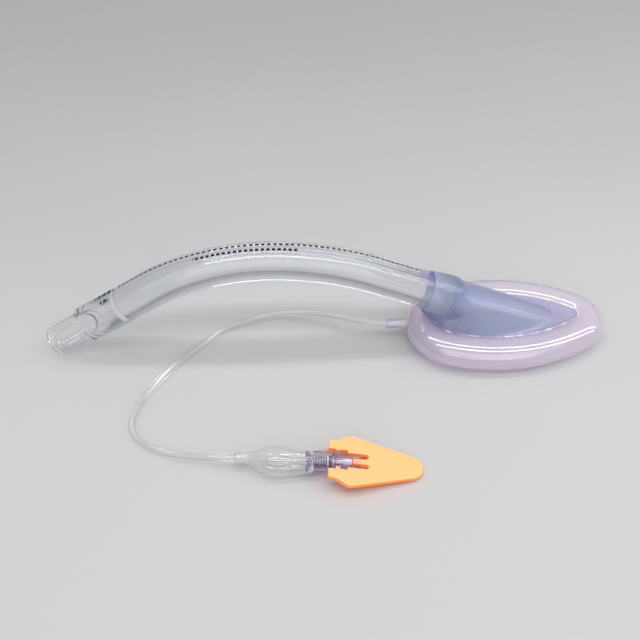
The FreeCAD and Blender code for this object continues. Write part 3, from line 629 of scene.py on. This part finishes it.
TUBE_FINISH = clear_soft(
    "clear_tube", (0.955, 0.965, 0.985, 1), ior=1.53, shadow=0.55, printed=PRINTED_ROWS)
piece("breathing_tube", tube_skins(), TUBE_FINISH, "airway", "airway_tube")

# %% [markdown]
# The connector is moulded in one piece: the 15 mm cone, a collar and the spigot inside the tube.
# All of it is round, so one profile is spun about the tube's axis. The tube grips the spigot so
# tightly that no light is lost between them, so the two share one clear wall there, and only the
# ring at the spigot's end shows.

# %% Connector
CONE_MOUTH_RADIUS = 7.535 * MM
CONE_ROOT_RADIUS = 7.781 * MM
COLLAR_RADIUS = 9.6 * MM
CONNECTOR_BORE = 6.1 * MM
CONNECTOR_ROUND = 0.3 * MM


def axis_place(point, direction):
    """Matrix that lays +X along a direction from a point."""
    side = UP.cross(direction).normalized()
    turn = Matrix((direction, side, direction.cross(side))).transposed().to_4x4()
    turn.translation = point
    return turn


collar_front = CONE_LENGTH + COLLAR_THICKNESS
spigot_end = collar_front + SPIGOT_LENGTH
CONNECTOR_PROFILE = [
    (collar_front, TUBE_RADIUS),
    (collar_front, COLLAR_RADIUS),
    (CONE_LENGTH, COLLAR_RADIUS),
    (CONE_LENGTH, CONE_ROOT_RADIUS),
    (0, CONE_MOUTH_RADIUS),
    (0, CONNECTOR_BORE),
    (spigot_end, CONNECTOR_BORE),
    (spigot_end, TUBE_BORE),
]
CONNECTOR_FINISH = clear_soft("clear_hard", (0.97, 0.97, 0.975, 1), roughness=0.02, ior=1.56)
connector_mesh = turned(
    CONNECTOR_PROFILE, axis_place(MOUTH, polar(TUBE_RISE)), edge_round=CONNECTOR_ROUND, closed=False)
piece("cone_connector", connector_mesh, CONNECTOR_FINISH, "airway", "tube_connector")

# %% [markdown]
# The cuff is a thin film blown to an egg-shaped ring and inflated. Its centre line is four tangent
# arcs: a wide one at the heel, two long ones at the sides and a tight one at the tip.

# %% The cuff's centre line
CUFF_HALF_WIDTH = 20.7 * MM
CUFF_LENGTH = 84.3 * MM
CUFF_APEX = 37.0 * MM
CUFF_SIDE_RADIUS = 80.0 * MM
CUFF_SECTION = (8.6 * MM, 7.8 * MM)
CUFF_HEEL_X = TUBE_RIM.x + 0.9 * MM
CUFF_STEPS = 160
ROUNDING = 1e-9


def egg_outline(steps):
    """Points of the heel arc, the two side arcs and the tip arc, evenly spaced."""
    drop = CUFF_SIDE_RADIUS - CUFF_HALF_WIDTH

    def end_radius(reach):
        return (CUFF_SIDE_RADIUS ** 2 - reach ** 2 - drop ** 2) / (2 * (CUFF_SIDE_RADIUS - reach))

    apex_x = CUFF_HEEL_X + CUFF_APEX
    heel_radius = end_radius(CUFF_APEX)
    tip_radius = end_radius(CUFF_LENGTH - CUFF_APEX)
    heel_centre = Vector((CUFF_HEEL_X + heel_radius, 0, 0))
    tip_centre = Vector((CUFF_HEEL_X + CUFF_LENGTH - tip_radius, 0, 0))
    side_centre = Vector((apex_x, -drop, 0))
    heel_turn = math.atan2(drop, heel_centre.x - apex_x)
    tip_turn = math.atan2(drop, tip_centre.x - apex_x)
    arcs = [
        (heel_centre, heel_radius, math.pi, heel_turn),
        (side_centre, CUFF_SIDE_RADIUS, heel_turn, tip_turn),
        (tip_centre, tip_radius, tip_turn, 0.0),
    ]
    total = sum(radius * (start - end) for _, radius, start, end in arcs)
    half = []
    for k in range(steps // 2 + 1):
        distance = total * k / (steps // 2)
        for centre, radius, start, end in arcs:
            span = radius * (start - end)
            if distance <= span + ROUNDING:
                angle = start - distance / radius
                half.append(centre + Vector((math.cos(angle), math.sin(angle), 0)) * radius)
                break
            distance -= span
    other = [Vector((point.x, -point.y, 0)) for point in half[-2:0:-1]]
    return [point + Vector((0, 0, CUFF_SECTION[1])) for point in half + other]


cuff_path = egg_outline(CUFF_STEPS)
cuff_middle = sum(cuff_path, Vector()) / len(cuff_path)
print("cuff's centre line", len(cuff_path), "points")

# %% [markdown]
# The film is swept round that line twice, outside and inside, so that light crosses two thin films
# on each side as it does on the real one. The inner skin is turned to face the air inside. Its
# violet comes mostly from the plastic's depth, and a clear coat gives the bright lines on it.

# %% Inflated cuff
CUFF_WALL = 0.6 * MM
CUFF_SIDES = 48
FILM_SHADOW = (0.90, 0.87, 0.93, 1)
# Painted light: a pale tint for light let out of the film, standing in for what it would have met.
FILM_LET_OUT = (0.95, 0.90, 0.96, 1)
FILM_VIOLET = (0.82, 0.66, 0.86, 1)
FILM_DENSITY = 62.0
FILM_RIPPLE_WAVES = 90.0
FILM_RIPPLE_DEPTH = 0.00012


def cuff_material():
    finish = Finish("violet_film")
    ripple = finish.bump(finish.grain(FILM_RIPPLE_WAVES), FILM_RIPPLE_DEPTH)
    surface = finish.surface(
        Base_Color=(0.97, 0.925, 0.98, 1), Roughness=0.13, IOR=1.46, Transmission_Weight=0.84,
        Normal=ripple, Coat_Weight=0.85, Coat_Roughness=0.03, Coat_IOR=1.6)
    shaded = finish.see_through_shadow(surface, 0.7, FILM_SHADOW, FILM_LET_OUT)
    return finish.done(shaded, finish.absorbing(FILM_VIOLET, FILM_DENSITY))


def film_ring():
    """The film's outer skin and the inner one, which faces the air inside."""
    mesh = bmesh.new()
    sweep(mesh, stations(cuff_path, *CUFF_SECTION, closed=True), CUFF_SIDES, closed=True)
    bmesh.ops.recalc_face_normals(mesh, faces=mesh.faces)
    outer_faces = set(mesh.faces)
    inner_section = [half - CUFF_WALL for half in CUFF_SECTION]
    sweep(mesh, stations(cuff_path, *inner_section, closed=True), CUFF_SIDES, closed=True)
    inner_faces = [face for face in mesh.faces if face not in outer_faces]
    bmesh.ops.recalc_face_normals(mesh, faces=inner_faces)
    bmesh.ops.reverse_faces(mesh, faces=inner_faces)
    return mesh


CUFF_FINISH = cuff_material()
piece("inflated_cuff", film_ring(), CUFF_FINISH, "airway", "mask_cuff")

# %% [markdown]
# The film is welded to the shell along a seam, where a little glue has squeezed out unevenly. Its
# sparkle is a painted highlight: the bead is milky white, which stands in for the glints of the
# clear glue. It is a closed sweep along the seam, and noise gives each station its own thickness.

# %% Seam glue
SEAM_OFFSET = 5.3 * MM
SEAM_HEIGHT = 14.3 * MM
GLUE_RADIUS = 0.42 * MM
GLUE_LEAST = 0.12
GLUE_MEAN = 0.35
GLUE_SWING = 2.0
GLUE_WAVES = 420.0
GLUE_SIDES = 8


def seam_rows():
    """Stations inwards of the cuff's centre line, each with its own thickness of glue."""
    placed = []
    for row in stations(cuff_path, 1.0, 1.0, closed=True):
        inward = row.col[1].xyz.normalized()
        point = row.translation
        if inward.dot(cuff_middle - point) < 0:
            inward = -inward
        spot = Vector((point.x, point.y, SEAM_HEIGHT)) + inward * SEAM_OFFSET
        bead = GLUE_RADIUS * max(GLUE_LEAST, GLUE_MEAN + GLUE_SWING * noise.noise(spot * GLUE_WAVES))
        placed.append(station(spot, row.col[0].xyz.normalized(), bead, bead))
    return placed


def glue_material():
    # Painted highlight: a milky white glue whose whiteness stands in for glints along the seam.
    finish = Finish("glue_painted_glints")
    surface = finish.surface(
        Base_Color=(0.97, 0.95, 0.98, 1), Roughness=0.08, IOR=1.5, Transmission_Weight=0.35,
        Coat_Weight=1.0, Coat_Roughness=0.02)
    return finish.done(finish.see_through_shadow(surface, 0.7, FILM_SHADOW))


glue_mesh = bmesh.new()
sweep(glue_mesh, seam_rows(), GLUE_SIDES, closed=True)
bmesh.ops.recalc_face_normals(glue_mesh, faces=glue_mesh.faces)
piece("seam_glue", glue_mesh, glue_material(), "airway")

# %% [markdown]
# A short tube of the same film leads the air from the line into the cuff. It is turned, and flares
# where it is welded on.

# %% Port
PORT_RADIUS = 2.4 * MM
PORT_BORE = 1.65 * MM
PORT_LENGTH = 10.2 * MM
PORT_FLARE = 1.0 * MM
PORT_STEPS = 40
PORT_ROUND = 0.2 * MM
PORT_FLARE_START = PORT_LENGTH - 1.6 * MM
PORT_FLARE_END = PORT_LENGTH + 0.4 * MM
PORT_END = PORT_LENGTH + 0.6 * MM
PORT_PROFILE = [
    (0, PORT_BORE),
    (0, PORT_RADIUS),
    (PORT_FLARE_START, PORT_RADIUS),
    (PORT_FLARE_END, PORT_RADIUS + PORT_FLARE),
    (PORT_END, PORT_BORE),
]
port_mesh = turned(
    PORT_PROFILE, axis_place(LINE_EXIT, Vector((1, 0, 0))), steps=PORT_STEPS, edge_round=PORT_ROUND)
piece("cuff_port", port_mesh, CUFF_FINISH, "airway")

# %% [markdown]
# The backplate is one soft moulding: a boat-shaped shell, the socket that holds the tube and the
# two bars over the tube's mouth. Its solid already has the right form, so a copy of its mesh is
# merged and smoothed. A tint that absorbs light inside the wall makes the edges a deeper blue,
# because the view crosses more plastic there.

# %% Backplate
SOLID_WELD = 2e-6
SEAM_BAND = (13.9 * MM, 15.6 * MM)
SOCKET_BAND = (TUBE_RIM.x + 4 * MM, TUBE_RIM.x + 16 * MM)
SHELL_BLUE = (0.73, 0.77, 0.87, 1)
SHELL_PALE = (0.86, 0.89, 0.96, 1)
SHELL_VIOLET = (0.84, 0.80, 0.90, 1)
SHELL_DEEP = (0.34, 0.47, 0.86, 1)
SHELL_DENSITY = 130.0
SHELL_SHADOW = (0.70, 0.76, 0.90, 1)
# Painted light: a paler blue for light let out of the shell, which lightens it round the socket.
SHELL_LET_OUT = (0.72, 0.77, 0.90, 1)
SHELL_RIPPLE_WAVES = 140.0
SHELL_RIPPLE_DEPTH = 0.00008
SOCKET_RADIUS = 10.67 * MM
FAIRING_BACK = SOCKET_DEPTH - 1.5 * MM
FAIRING_FRONT = SOCKET_DEPTH + 6.5 * MM
FAIRING_BORE = 6.75 * MM
FAIRING_END_RADIUS = 8.5 * MM
FAIRING_LEAD = 1.0 * MM
FAIRING_DROP = 0.2 * MM
FAIRING = [
    (FAIRING_BACK, FAIRING_BORE),
    (FAIRING_BACK, SOCKET_RADIUS),
    (SOCKET_DEPTH + FAIRING_LEAD, SOCKET_RADIUS - FAIRING_DROP),
    (FAIRING_FRONT, FAIRING_END_RADIUS),
    (FAIRING_FRONT, FAIRING_BORE),
]


def backplate_material():
    """Blue, paler round the tube and with the film's violet below the seam."""
    finish = Finish("blue_shell")
    ripple = finish.bump(finish.grain(SHELL_RIPPLE_WAVES), SHELL_RIPPLE_DEPTH)
    above_seam = finish.ramp(finish.coordinate("Z"), *SEAM_BAND)
    round_tube = 1 - finish.ramp(finish.coordinate("X"), *SOCKET_BAND)
    blue = finish.blend(round_tube, SHELL_BLUE, SHELL_PALE)
    surface = finish.surface(
        Base_Color=finish.blend(above_seam, SHELL_VIOLET, blue), Roughness=0.24, IOR=1.42,
        Transmission_Weight=0.78, Normal=ripple, Coat_Weight=0.35, Coat_Roughness=0.16)
    shaded = finish.see_through_shadow(surface, 0.55, SHELL_SHADOW, SHELL_LET_OUT)
    return finish.done(shaded, finish.absorbing(SHELL_DEEP, SHELL_DENSITY))


def shell_mesh():
    """The solid's own mesh and a fairing that leads the socket's wall over into the ridge."""
    mesh = bmesh.new()
    mesh.from_mesh(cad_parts["mask_backplate"].data)
    bmesh.ops.remove_doubles(mesh, verts=mesh.verts, dist=SOLID_WELD)
    fairing = turned(FAIRING, axis_place(TUBE_RIM, polar(-TUBE_FALL)))
    carrier = bpy.data.meshes.new("fairing")
    fairing.to_mesh(carrier)
    fairing.free()
    mesh.from_mesh(carrier)
    bpy.data.meshes.remove(carrier)
    return mesh


plate = piece(
    "mask_shell", shell_mesh(), backplate_material(), "airway", "mask_backplate")

# %% [markdown]
# Two modifiers make one smooth body of the shell and its fairing. Remesh melts them together, and
# Smooth takes the small steps away that the melting leaves.

# %% Smoothing the backplate
MELT_STEP = 0.45 * MM
EASING_FACTOR = 0.5
EASING_ROUNDS = 40

melted = plate.modifiers.new("melted", "REMESH")
melted.mode = "VOXEL"
melted.voxel_size = MELT_STEP
melted.use_smooth_shade = True
eased = plate.modifiers.new("eased", "SMOOTH")
eased.factor = EASING_FACTOR
eased.iterations = EASING_ROUNDS
print("backplate melted at", round(MELT_STEP / MM, 2), "mm")

# %% [markdown]
# The pilot balloon is a piece of clear film tube, welded to the line at one end and gripping the
# valve at the other. It is only softly inflated, so the film keeps long pleats that gather at both
# ends. It starts as a sweep along a straight line whose stations are ovals.

# %% Pilot balloon
PILOT_START = Vector((-46.5, -78.5, 6.3)) * MM
PILOT_HEADING = Vector((math.cos(math.radians(-3.4)), math.sin(math.radians(-3.4)), 0))
PILOT_PLACE = axis_place(PILOT_START, PILOT_HEADING)
SLEEVE_LENGTH = 7.0 * MM
SLEEVE_OFFSET = 1.8 * MM
SLEEVE_RADIUS = 2.45 * MM
BULB_LENGTH = 25.9 * MM
BULB_HALF = (7.1 * MM, 6.3 * MM)
NECK_RADIUS = 5.22 * MM
NECK_LENGTH = 3.0 * MM
SLEEVE_ROWS = [
    (0, 1.92 * MM),
    (0.5 * MM, 2.25 * MM),
    (1.3 * MM, SLEEVE_RADIUS),
    (4 * MM, SLEEVE_RADIUS),
]
OFFSET_FADES = 0.5
OFFSET_EASE = 1.5
FULL_STRETCH = 1.04
FULL_SHIFT = 0.92
FULL_EASE = 1.15
BALLOON_STEPS = 64
BALLOON_SIDES = 96


def off_axis(share):
    """The line is welded on off the valve's axis, and the bulb comes back to it by its middle."""
    return SLEEVE_OFFSET * max(0.0, 1 - share / OFFSET_FADES) ** OFFSET_EASE


def bulb_half(share, axis):
    """Half width or height of the bulb: smooth between its two ends and the full middle."""
    full = math.sin(math.pi * min(1.0, share / FULL_STRETCH) ** FULL_SHIFT) ** FULL_EASE
    base = SLEEVE_RADIUS + (NECK_RADIUS - SLEEVE_RADIUS) * share
    return base + (BULB_HALF[axis] - base) * full


def balloon_rows():
    """Stations of the sleeve, the bulb and the neck."""
    rows = [(x, SLEEVE_OFFSET, radius, radius) for x, radius in SLEEVE_ROWS]
    for k in range(BALLOON_STEPS + 1):
        share = k / BALLOON_STEPS
        x = SLEEVE_LENGTH + BULB_LENGTH * share
        rows.append((x, off_axis(share), bulb_half(share, 0), bulb_half(share, 1)))
    rows.append((SLEEVE_LENGTH + BULB_LENGTH + NECK_LENGTH, 0.0, NECK_RADIUS, NECK_RADIUS))
    ahead = Vector((1, 0, 0))
    return [station(Vector((x, off, 0)), ahead, wide, high) for x, off, wide, high in rows]


balloon_shape = bmesh.new()
sweep(balloon_shape, balloon_rows(), BALLOON_SIDES)
print("balloon", len(balloon_shape.verts), "corners before its pleats")

# %% [markdown]
# The pleats run along the bulb. A wave around it pushes the corners in along its creases, and noise
# lets the creases wander. They are deepest towards the ends, where the film is gathered.

# %% Pleats and film
PLEATS = 4
PLEAT_TURN = 1.1
PLEAT_DEPTH = 0.17
PLEAT_AT_ENDS = 1.25
PLEAT_EASE = 0.6
WANDER = 1.2
WANDER_WAVES = 2.0
FILM = 0.3 * MM


def pleated(mesh):
    """Push the corners of the bulb in along its creases, then carry the balloon to its place."""
    for corner in mesh.verts:
        share = (corner.co.x - SLEEVE_LENGTH) / BULB_LENGTH
        if 0 < share < 1:
            centre = off_axis(share)
            angle = math.atan2(corner.co.z, corner.co.y - centre)
            spot = Vector((share * WANDER_WAVES, math.cos(angle), math.sin(angle)))
            wave = math.cos(PLEATS * angle + noise.noise(spot) * WANDER + PLEAT_TURN)
            middle = math.sin(math.pi * share)
            pleat = (1 - abs(wave)) * middle ** PLEAT_EASE
            depth = -PLEAT_DEPTH * pleat * (PLEAT_AT_ENDS - middle)
            corner.co.y += (corner.co.y - centre) * depth
            corner.co.z += corner.co.z * depth
    bmesh.ops.recalc_face_normals(mesh, faces=mesh.faces)
    bmesh.ops.transform(mesh, matrix=PILOT_PLACE, verts=mesh.verts)
    return mesh


FILM_FINISH = clear_soft("clear_film", (0.99, 0.985, 0.985, 1), roughness=0.03, ior=1.56, shadow=0.7,
                         wave=0.0, let_out=BRIGHT_LET_OUT)
balloon = piece(
    "balloon_film", pleated(balloon_shape), FILM_FINISH, "airway", "pilot_balloon")
wall = balloon.modifiers.new("wall", "SOLIDIFY")
wall.thickness = FILM
wall.offset = -1

# %% [markdown]
# The check valve is a clear housing with a luer socket. In it a spring pushes a white plunger
# with a black washer against a seat. All of these are turned shapes apart from the spring.

# %% The valve's profiles
VALVE_BACK = 32.3 * MM
EDGE_BEVEL = 0.3 * MM
BODY_LENGTH = 13.4 * MM
BODY_RADIUS = 4.85 * MM
BODY_BEVEL = 0.5 * MM
CHAMBER_RADIUS = 3.4 * MM
SEAT = 11.75 * MM
SEAT_RADIUS = 1.65 * MM
LUER_LENGTH = 11.4 * MM
LUER_FRONT = BODY_LENGTH + LUER_LENGTH
LUER_RIM_BACK = LUER_FRONT - 0.9 * MM
LUER_RIM_RADIUS = 3.25 * MM
LUER_NECK_RADIUS = 3.05 * MM
LUER_ROOT_RADIUS = 3.85 * MM
LUER_MOUTH_RADIUS = 2.15 * MM
LUER_FLOOR_RADIUS = 1.8 * MM
LUER_FLOOR = SEAT + 2.0 * MM
THROAT_END = SEAT + 1.2 * MM
HOUSING_PROFILE = [
    (0, CHAMBER_RADIUS),
    (0, BODY_RADIUS),
    (BODY_LENGTH - BODY_BEVEL, BODY_RADIUS),
    (BODY_LENGTH, BODY_RADIUS - BODY_BEVEL),
    (BODY_LENGTH, LUER_ROOT_RADIUS),
    (LUER_RIM_BACK - EDGE_BEVEL, LUER_NECK_RADIUS),
    (LUER_RIM_BACK, LUER_RIM_RADIUS),
    (LUER_FRONT, LUER_RIM_RADIUS),
    (LUER_FRONT, LUER_MOUTH_RADIUS),
    (LUER_FLOOR, LUER_FLOOR_RADIUS),
    (THROAT_END, SEAT_RADIUS),
    (SEAT, SEAT_RADIUS),
    (SEAT, CHAMBER_RADIUS),
]

BASE_BACK = 0.2 * MM
BASE_END = 1.4 * MM
BASE_RADIUS = 3.3 * MM
BASE_BORE = 1.3 * MM
BASE_PROFILE = [
    (BASE_BACK, BASE_BORE),
    (BASE_BACK, BASE_RADIUS),
    (BASE_END, BASE_RADIUS),
    (BASE_END, BASE_BORE),
]

STEM_RADIUS = 0.85 * MM
FLANGE_BACK = 9.75 * MM
FLANGE_RADIUS = 2.7 * MM
GUIDE_BACK = FLANGE_BACK - 5.6 * MM
GUIDE_RADIUS = 1.1 * MM
SEAL_BACK = 10.35 * MM
HEAD_BACK = 16.6 * MM
HEAD_FRONT = 20.7 * MM
HEAD_RADIUS = 1.5 * MM
PLUNGER_PROFILE = [
    (GUIDE_BACK, 0),
    (GUIDE_BACK, GUIDE_RADIUS - EDGE_BEVEL),
    (GUIDE_BACK + EDGE_BEVEL, GUIDE_RADIUS),
    (FLANGE_BACK, GUIDE_RADIUS),
    (FLANGE_BACK, FLANGE_RADIUS),
    (SEAL_BACK, FLANGE_RADIUS),
    (SEAL_BACK, STEM_RADIUS),
    (HEAD_BACK, STEM_RADIUS),
    (HEAD_BACK, HEAD_RADIUS),
    (HEAD_FRONT - EDGE_BEVEL, HEAD_RADIUS),
    (HEAD_FRONT, HEAD_RADIUS - EDGE_BEVEL),
    (HEAD_FRONT, 0),
]

SEAL_RADIUS = 2.65 * MM
SEAL_FRONT = SEAL_BACK + 1.35 * MM
SEAL_PROFILE = [
    (SEAL_BACK, STEM_RADIUS),
    (SEAL_BACK, SEAL_RADIUS),
    (SEAL_FRONT - EDGE_BEVEL, SEAL_RADIUS),
    (SEAL_FRONT, SEAL_RADIUS - EDGE_BEVEL),
    (SEAL_FRONT, STEM_RADIUS),
]
print("valve", round(LUER_FRONT / MM, 1), "mm long")

# %% [markdown]
# The housing is clear with a violet depth, the ring in its back is milky, the plunger is white and
# the washer is black rubber. A fine grain in the roughness keeps the opaque ones from looking like
# glass.

# %% The valve's materials
HOUSING_SHADOW = (0.86, 0.82, 0.92, 1)
HOUSING_DEEP = (0.50, 0.38, 0.80, 1)
HOUSING_DENSITY = 85.0
MILKY_TONE = (0.88, 0.85, 0.93, 1)


def housing_material():
    finish = Finish("violet_housing")
    surface = finish.surface(
        Base_Color=(0.93, 0.90, 0.96, 1), Roughness=0.05, IOR=1.5, Transmission_Weight=1.0)
    shaded = finish.see_through_shadow(surface, 0.7, HOUSING_SHADOW)
    return finish.done(shaded, finish.absorbing(HOUSING_DEEP, HOUSING_DENSITY))


def milky_material():
    finish = Finish("milky_ring")
    surface = finish.surface(
        Base_Color=MILKY_TONE, Roughness=finish.grain(700.0) * 0.1 + 0.12, IOR=1.45,
        Transmission_Weight=0.93)
    return finish.done(finish.see_through_shadow(surface, 0.6, MILKY_TONE))


def grained(name, colour, waves, spread, least, **more):
    """An opaque material whose roughness varies by the spread above its least value."""
    finish = Finish(name)
    roughness = finish.grain(waves) * spread + least
    return finish.done(finish.surface(Base_Color=colour, Roughness=roughness, **more))


WHITE_FINISH = grained(
    "white_moulding", (0.88, 0.87, 0.88, 1), 900.0, 0.1, 0.3, Subsurface_Weight=0.2,
    Subsurface_Scale=0.001)
RUBBER_FINISH = grained("black_rubber", (0.02, 0.02, 0.022, 1), 1500.0, 0.2, 0.45)
print("materials", WHITE_FINISH.name, RUBBER_FINISH.name)

# %% [markdown]
# The four turned pieces stand on one axis, which starts at the housing's back. The plunger and its
# washer ride on the body that travels, and the rest stays with the airway.

# %% Check valve
VALVE_PLACE = PILOT_PLACE @ Matrix.Translation((VALVE_BACK, 0, 0))
HOUSING_ROUND = 0.12 * MM
PLUNGER_ROUND = 0.08 * MM
RING_ROUND = 0.1 * MM

housing = piece("housing", turned(HOUSING_PROFILE, VALVE_PLACE, edge_round=HOUSING_ROUND),
                housing_material(), "airway", "valve_housing")
base = piece("spring_base", turned(BASE_PROFILE, VALVE_PLACE, edge_round=RING_ROUND),
             milky_material(), "airway", "valve_base")
plunger = piece("plunger", turned(PLUNGER_PROFILE, VALVE_PLACE, SMALL_ROUND_STEPS, PLUNGER_ROUND),
                WHITE_FINISH, "plunger", "valve_plunger")
seal = piece("seal_washer", turned(SEAL_PROFILE, VALVE_PLACE, SMALL_ROUND_STEPS, RING_ROUND),
             RUBBER_FINISH, "plunger", "valve_seal")

# %% [markdown]
# The spring is drawn wire wound in seven turns. It is a sweep of a small ring along a helix, between
# the base that it stands on and the flange that it carries.

# %% Spring
SPRING_RADIUS = 2.025 * MM
WIRE_RADIUS = 0.225 * MM
SPRING_TURNS = 7
END_GAP = 0.305 * MM
SPRING_BACK = BASE_END + END_GAP
SPRING_FRONT = FLANGE_BACK - END_GAP
SPRING_STEPS = 28
SPRING_SIDES = 12


def spring_rows():
    """Stations along the helix, whose rings keep one side towards the axis."""
    count = SPRING_TURNS * SPRING_STEPS
    points = []
    for k in range(count + 1):
        turn = 2 * math.pi * k / SPRING_STEPS
        x = SPRING_BACK + (SPRING_FRONT - SPRING_BACK) * k / count
        points.append(Vector((x, SPRING_RADIUS * math.sin(turn), SPRING_RADIUS * math.cos(turn))))
    rows = []
    for k, point in enumerate(points):
        tangent = (points[min(k + 1, count)] - points[max(k - 1, 0)]).normalized()
        side = Vector((0, point.y, point.z)).normalized().cross(tangent).normalized()
        top = tangent.cross(side)
        row = Matrix((tangent, side * WIRE_RADIUS, top * WIRE_RADIUS)).transposed().to_4x4()
        row.translation = point
        rows.append(row)
    return rows


spring_mesh = bmesh.new()
for ring in sweep(spring_mesh, spring_rows(), SPRING_SIDES):
    bmesh.ops.contextual_create(spring_mesh, geom=ring)
bmesh.ops.recalc_face_normals(spring_mesh, faces=spring_mesh.faces)
bmesh.ops.transform(spring_mesh, matrix=VALVE_PLACE, verts=spring_mesh.verts)
STEEL_FINISH = grained("spring_wire", (0.20, 0.20, 0.22, 1), 2500.0, 0.15, 0.22, Metallic=1.0)
spring = piece("coil_spring", spring_mesh, STEEL_FINISH, "airway", "valve_spring")
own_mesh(spring)

# %% [markdown]
# The vent tag is a flat moulding of opaque orange plastic with a fine matt skin. Its solid has the
# right outline, slots, tongue and nubs, so it stays and only gets its material. Its paler flat face
# is painted light, standing in for the lamps that bleach it, so the height over the tag's tilted
# plane picks between that painted face tone and the deeper orange of its sides. A painted glow also
# makes the tag shine deep orange, standing in for light through the plastic.

# %% Vent tag
TAG_TILT = math.radians(8.5)
TAG_HALF_THICKNESS = 1.0 * MM
TAG_PIVOT = LUER_FRONT - 2.0 * MM
TAG_TOP = VALVE_PLACE @ Vector((TAG_PIVOT, 0, TAG_HALF_THICKNESS / math.cos(TAG_TILT)))
TAG_UP = PILOT_HEADING * math.sin(TAG_TILT) + UP * math.cos(TAG_TILT)
TAG_LIT_BAND = 0.38 * MM
LIT_BAND_FULL = 0.6
TAG_SIDE = (1.0, 0.34, 0.04, 1)
TAG_FACE_PAINTED_LIGHT = (1.0, 0.55, 0.235, 1)
TAG_PAINTED_GLOW = (1.0, 0.13, 0.01, 1)
TAG_PAINTED_GLOW_STRENGTH = 0.34
TAG_GRAIN_WAVES = 3000.0
TAG_GRAIN_DEPTH = 0.00002


def tag_material():
    """Deep orange on the cut sides, painted light on the paler face, and a painted orange glow."""
    finish = Finish("orange_moulding")
    ripple = finish.bump(finish.grain(TAG_GRAIN_WAVES, 3.0), TAG_GRAIN_DEPTH)
    height = (finish.coordinate("X") * TAG_UP.x + finish.coordinate("Y") * TAG_UP.y
              + finish.coordinate("Z") * TAG_UP.z)
    top = TAG_UP.dot(TAG_TOP)
    # Painted light: the band just under the tag's top is painted the paler, lit face tone.
    face = finish.ramp(height, top - TAG_LIT_BAND, top - LIT_BAND_FULL * TAG_LIT_BAND)
    # Painted light: the emission makes the tag glow though it is no lamp, standing in for light
    # shining through the orange plastic.
    return finish.done(finish.surface(
        Base_Color=finish.blend(face, TAG_SIDE, TAG_FACE_PAINTED_LIGHT), Roughness=0.42, Normal=ripple,
        Emission_Color=TAG_PAINTED_GLOW, Emission_Strength=TAG_PAINTED_GLOW_STRENGTH))


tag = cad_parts["vent_tag"]
tag.data.materials.clear()
tag.data.materials.append(tag_material())
print(tag.name, "keeps its solid's shape")
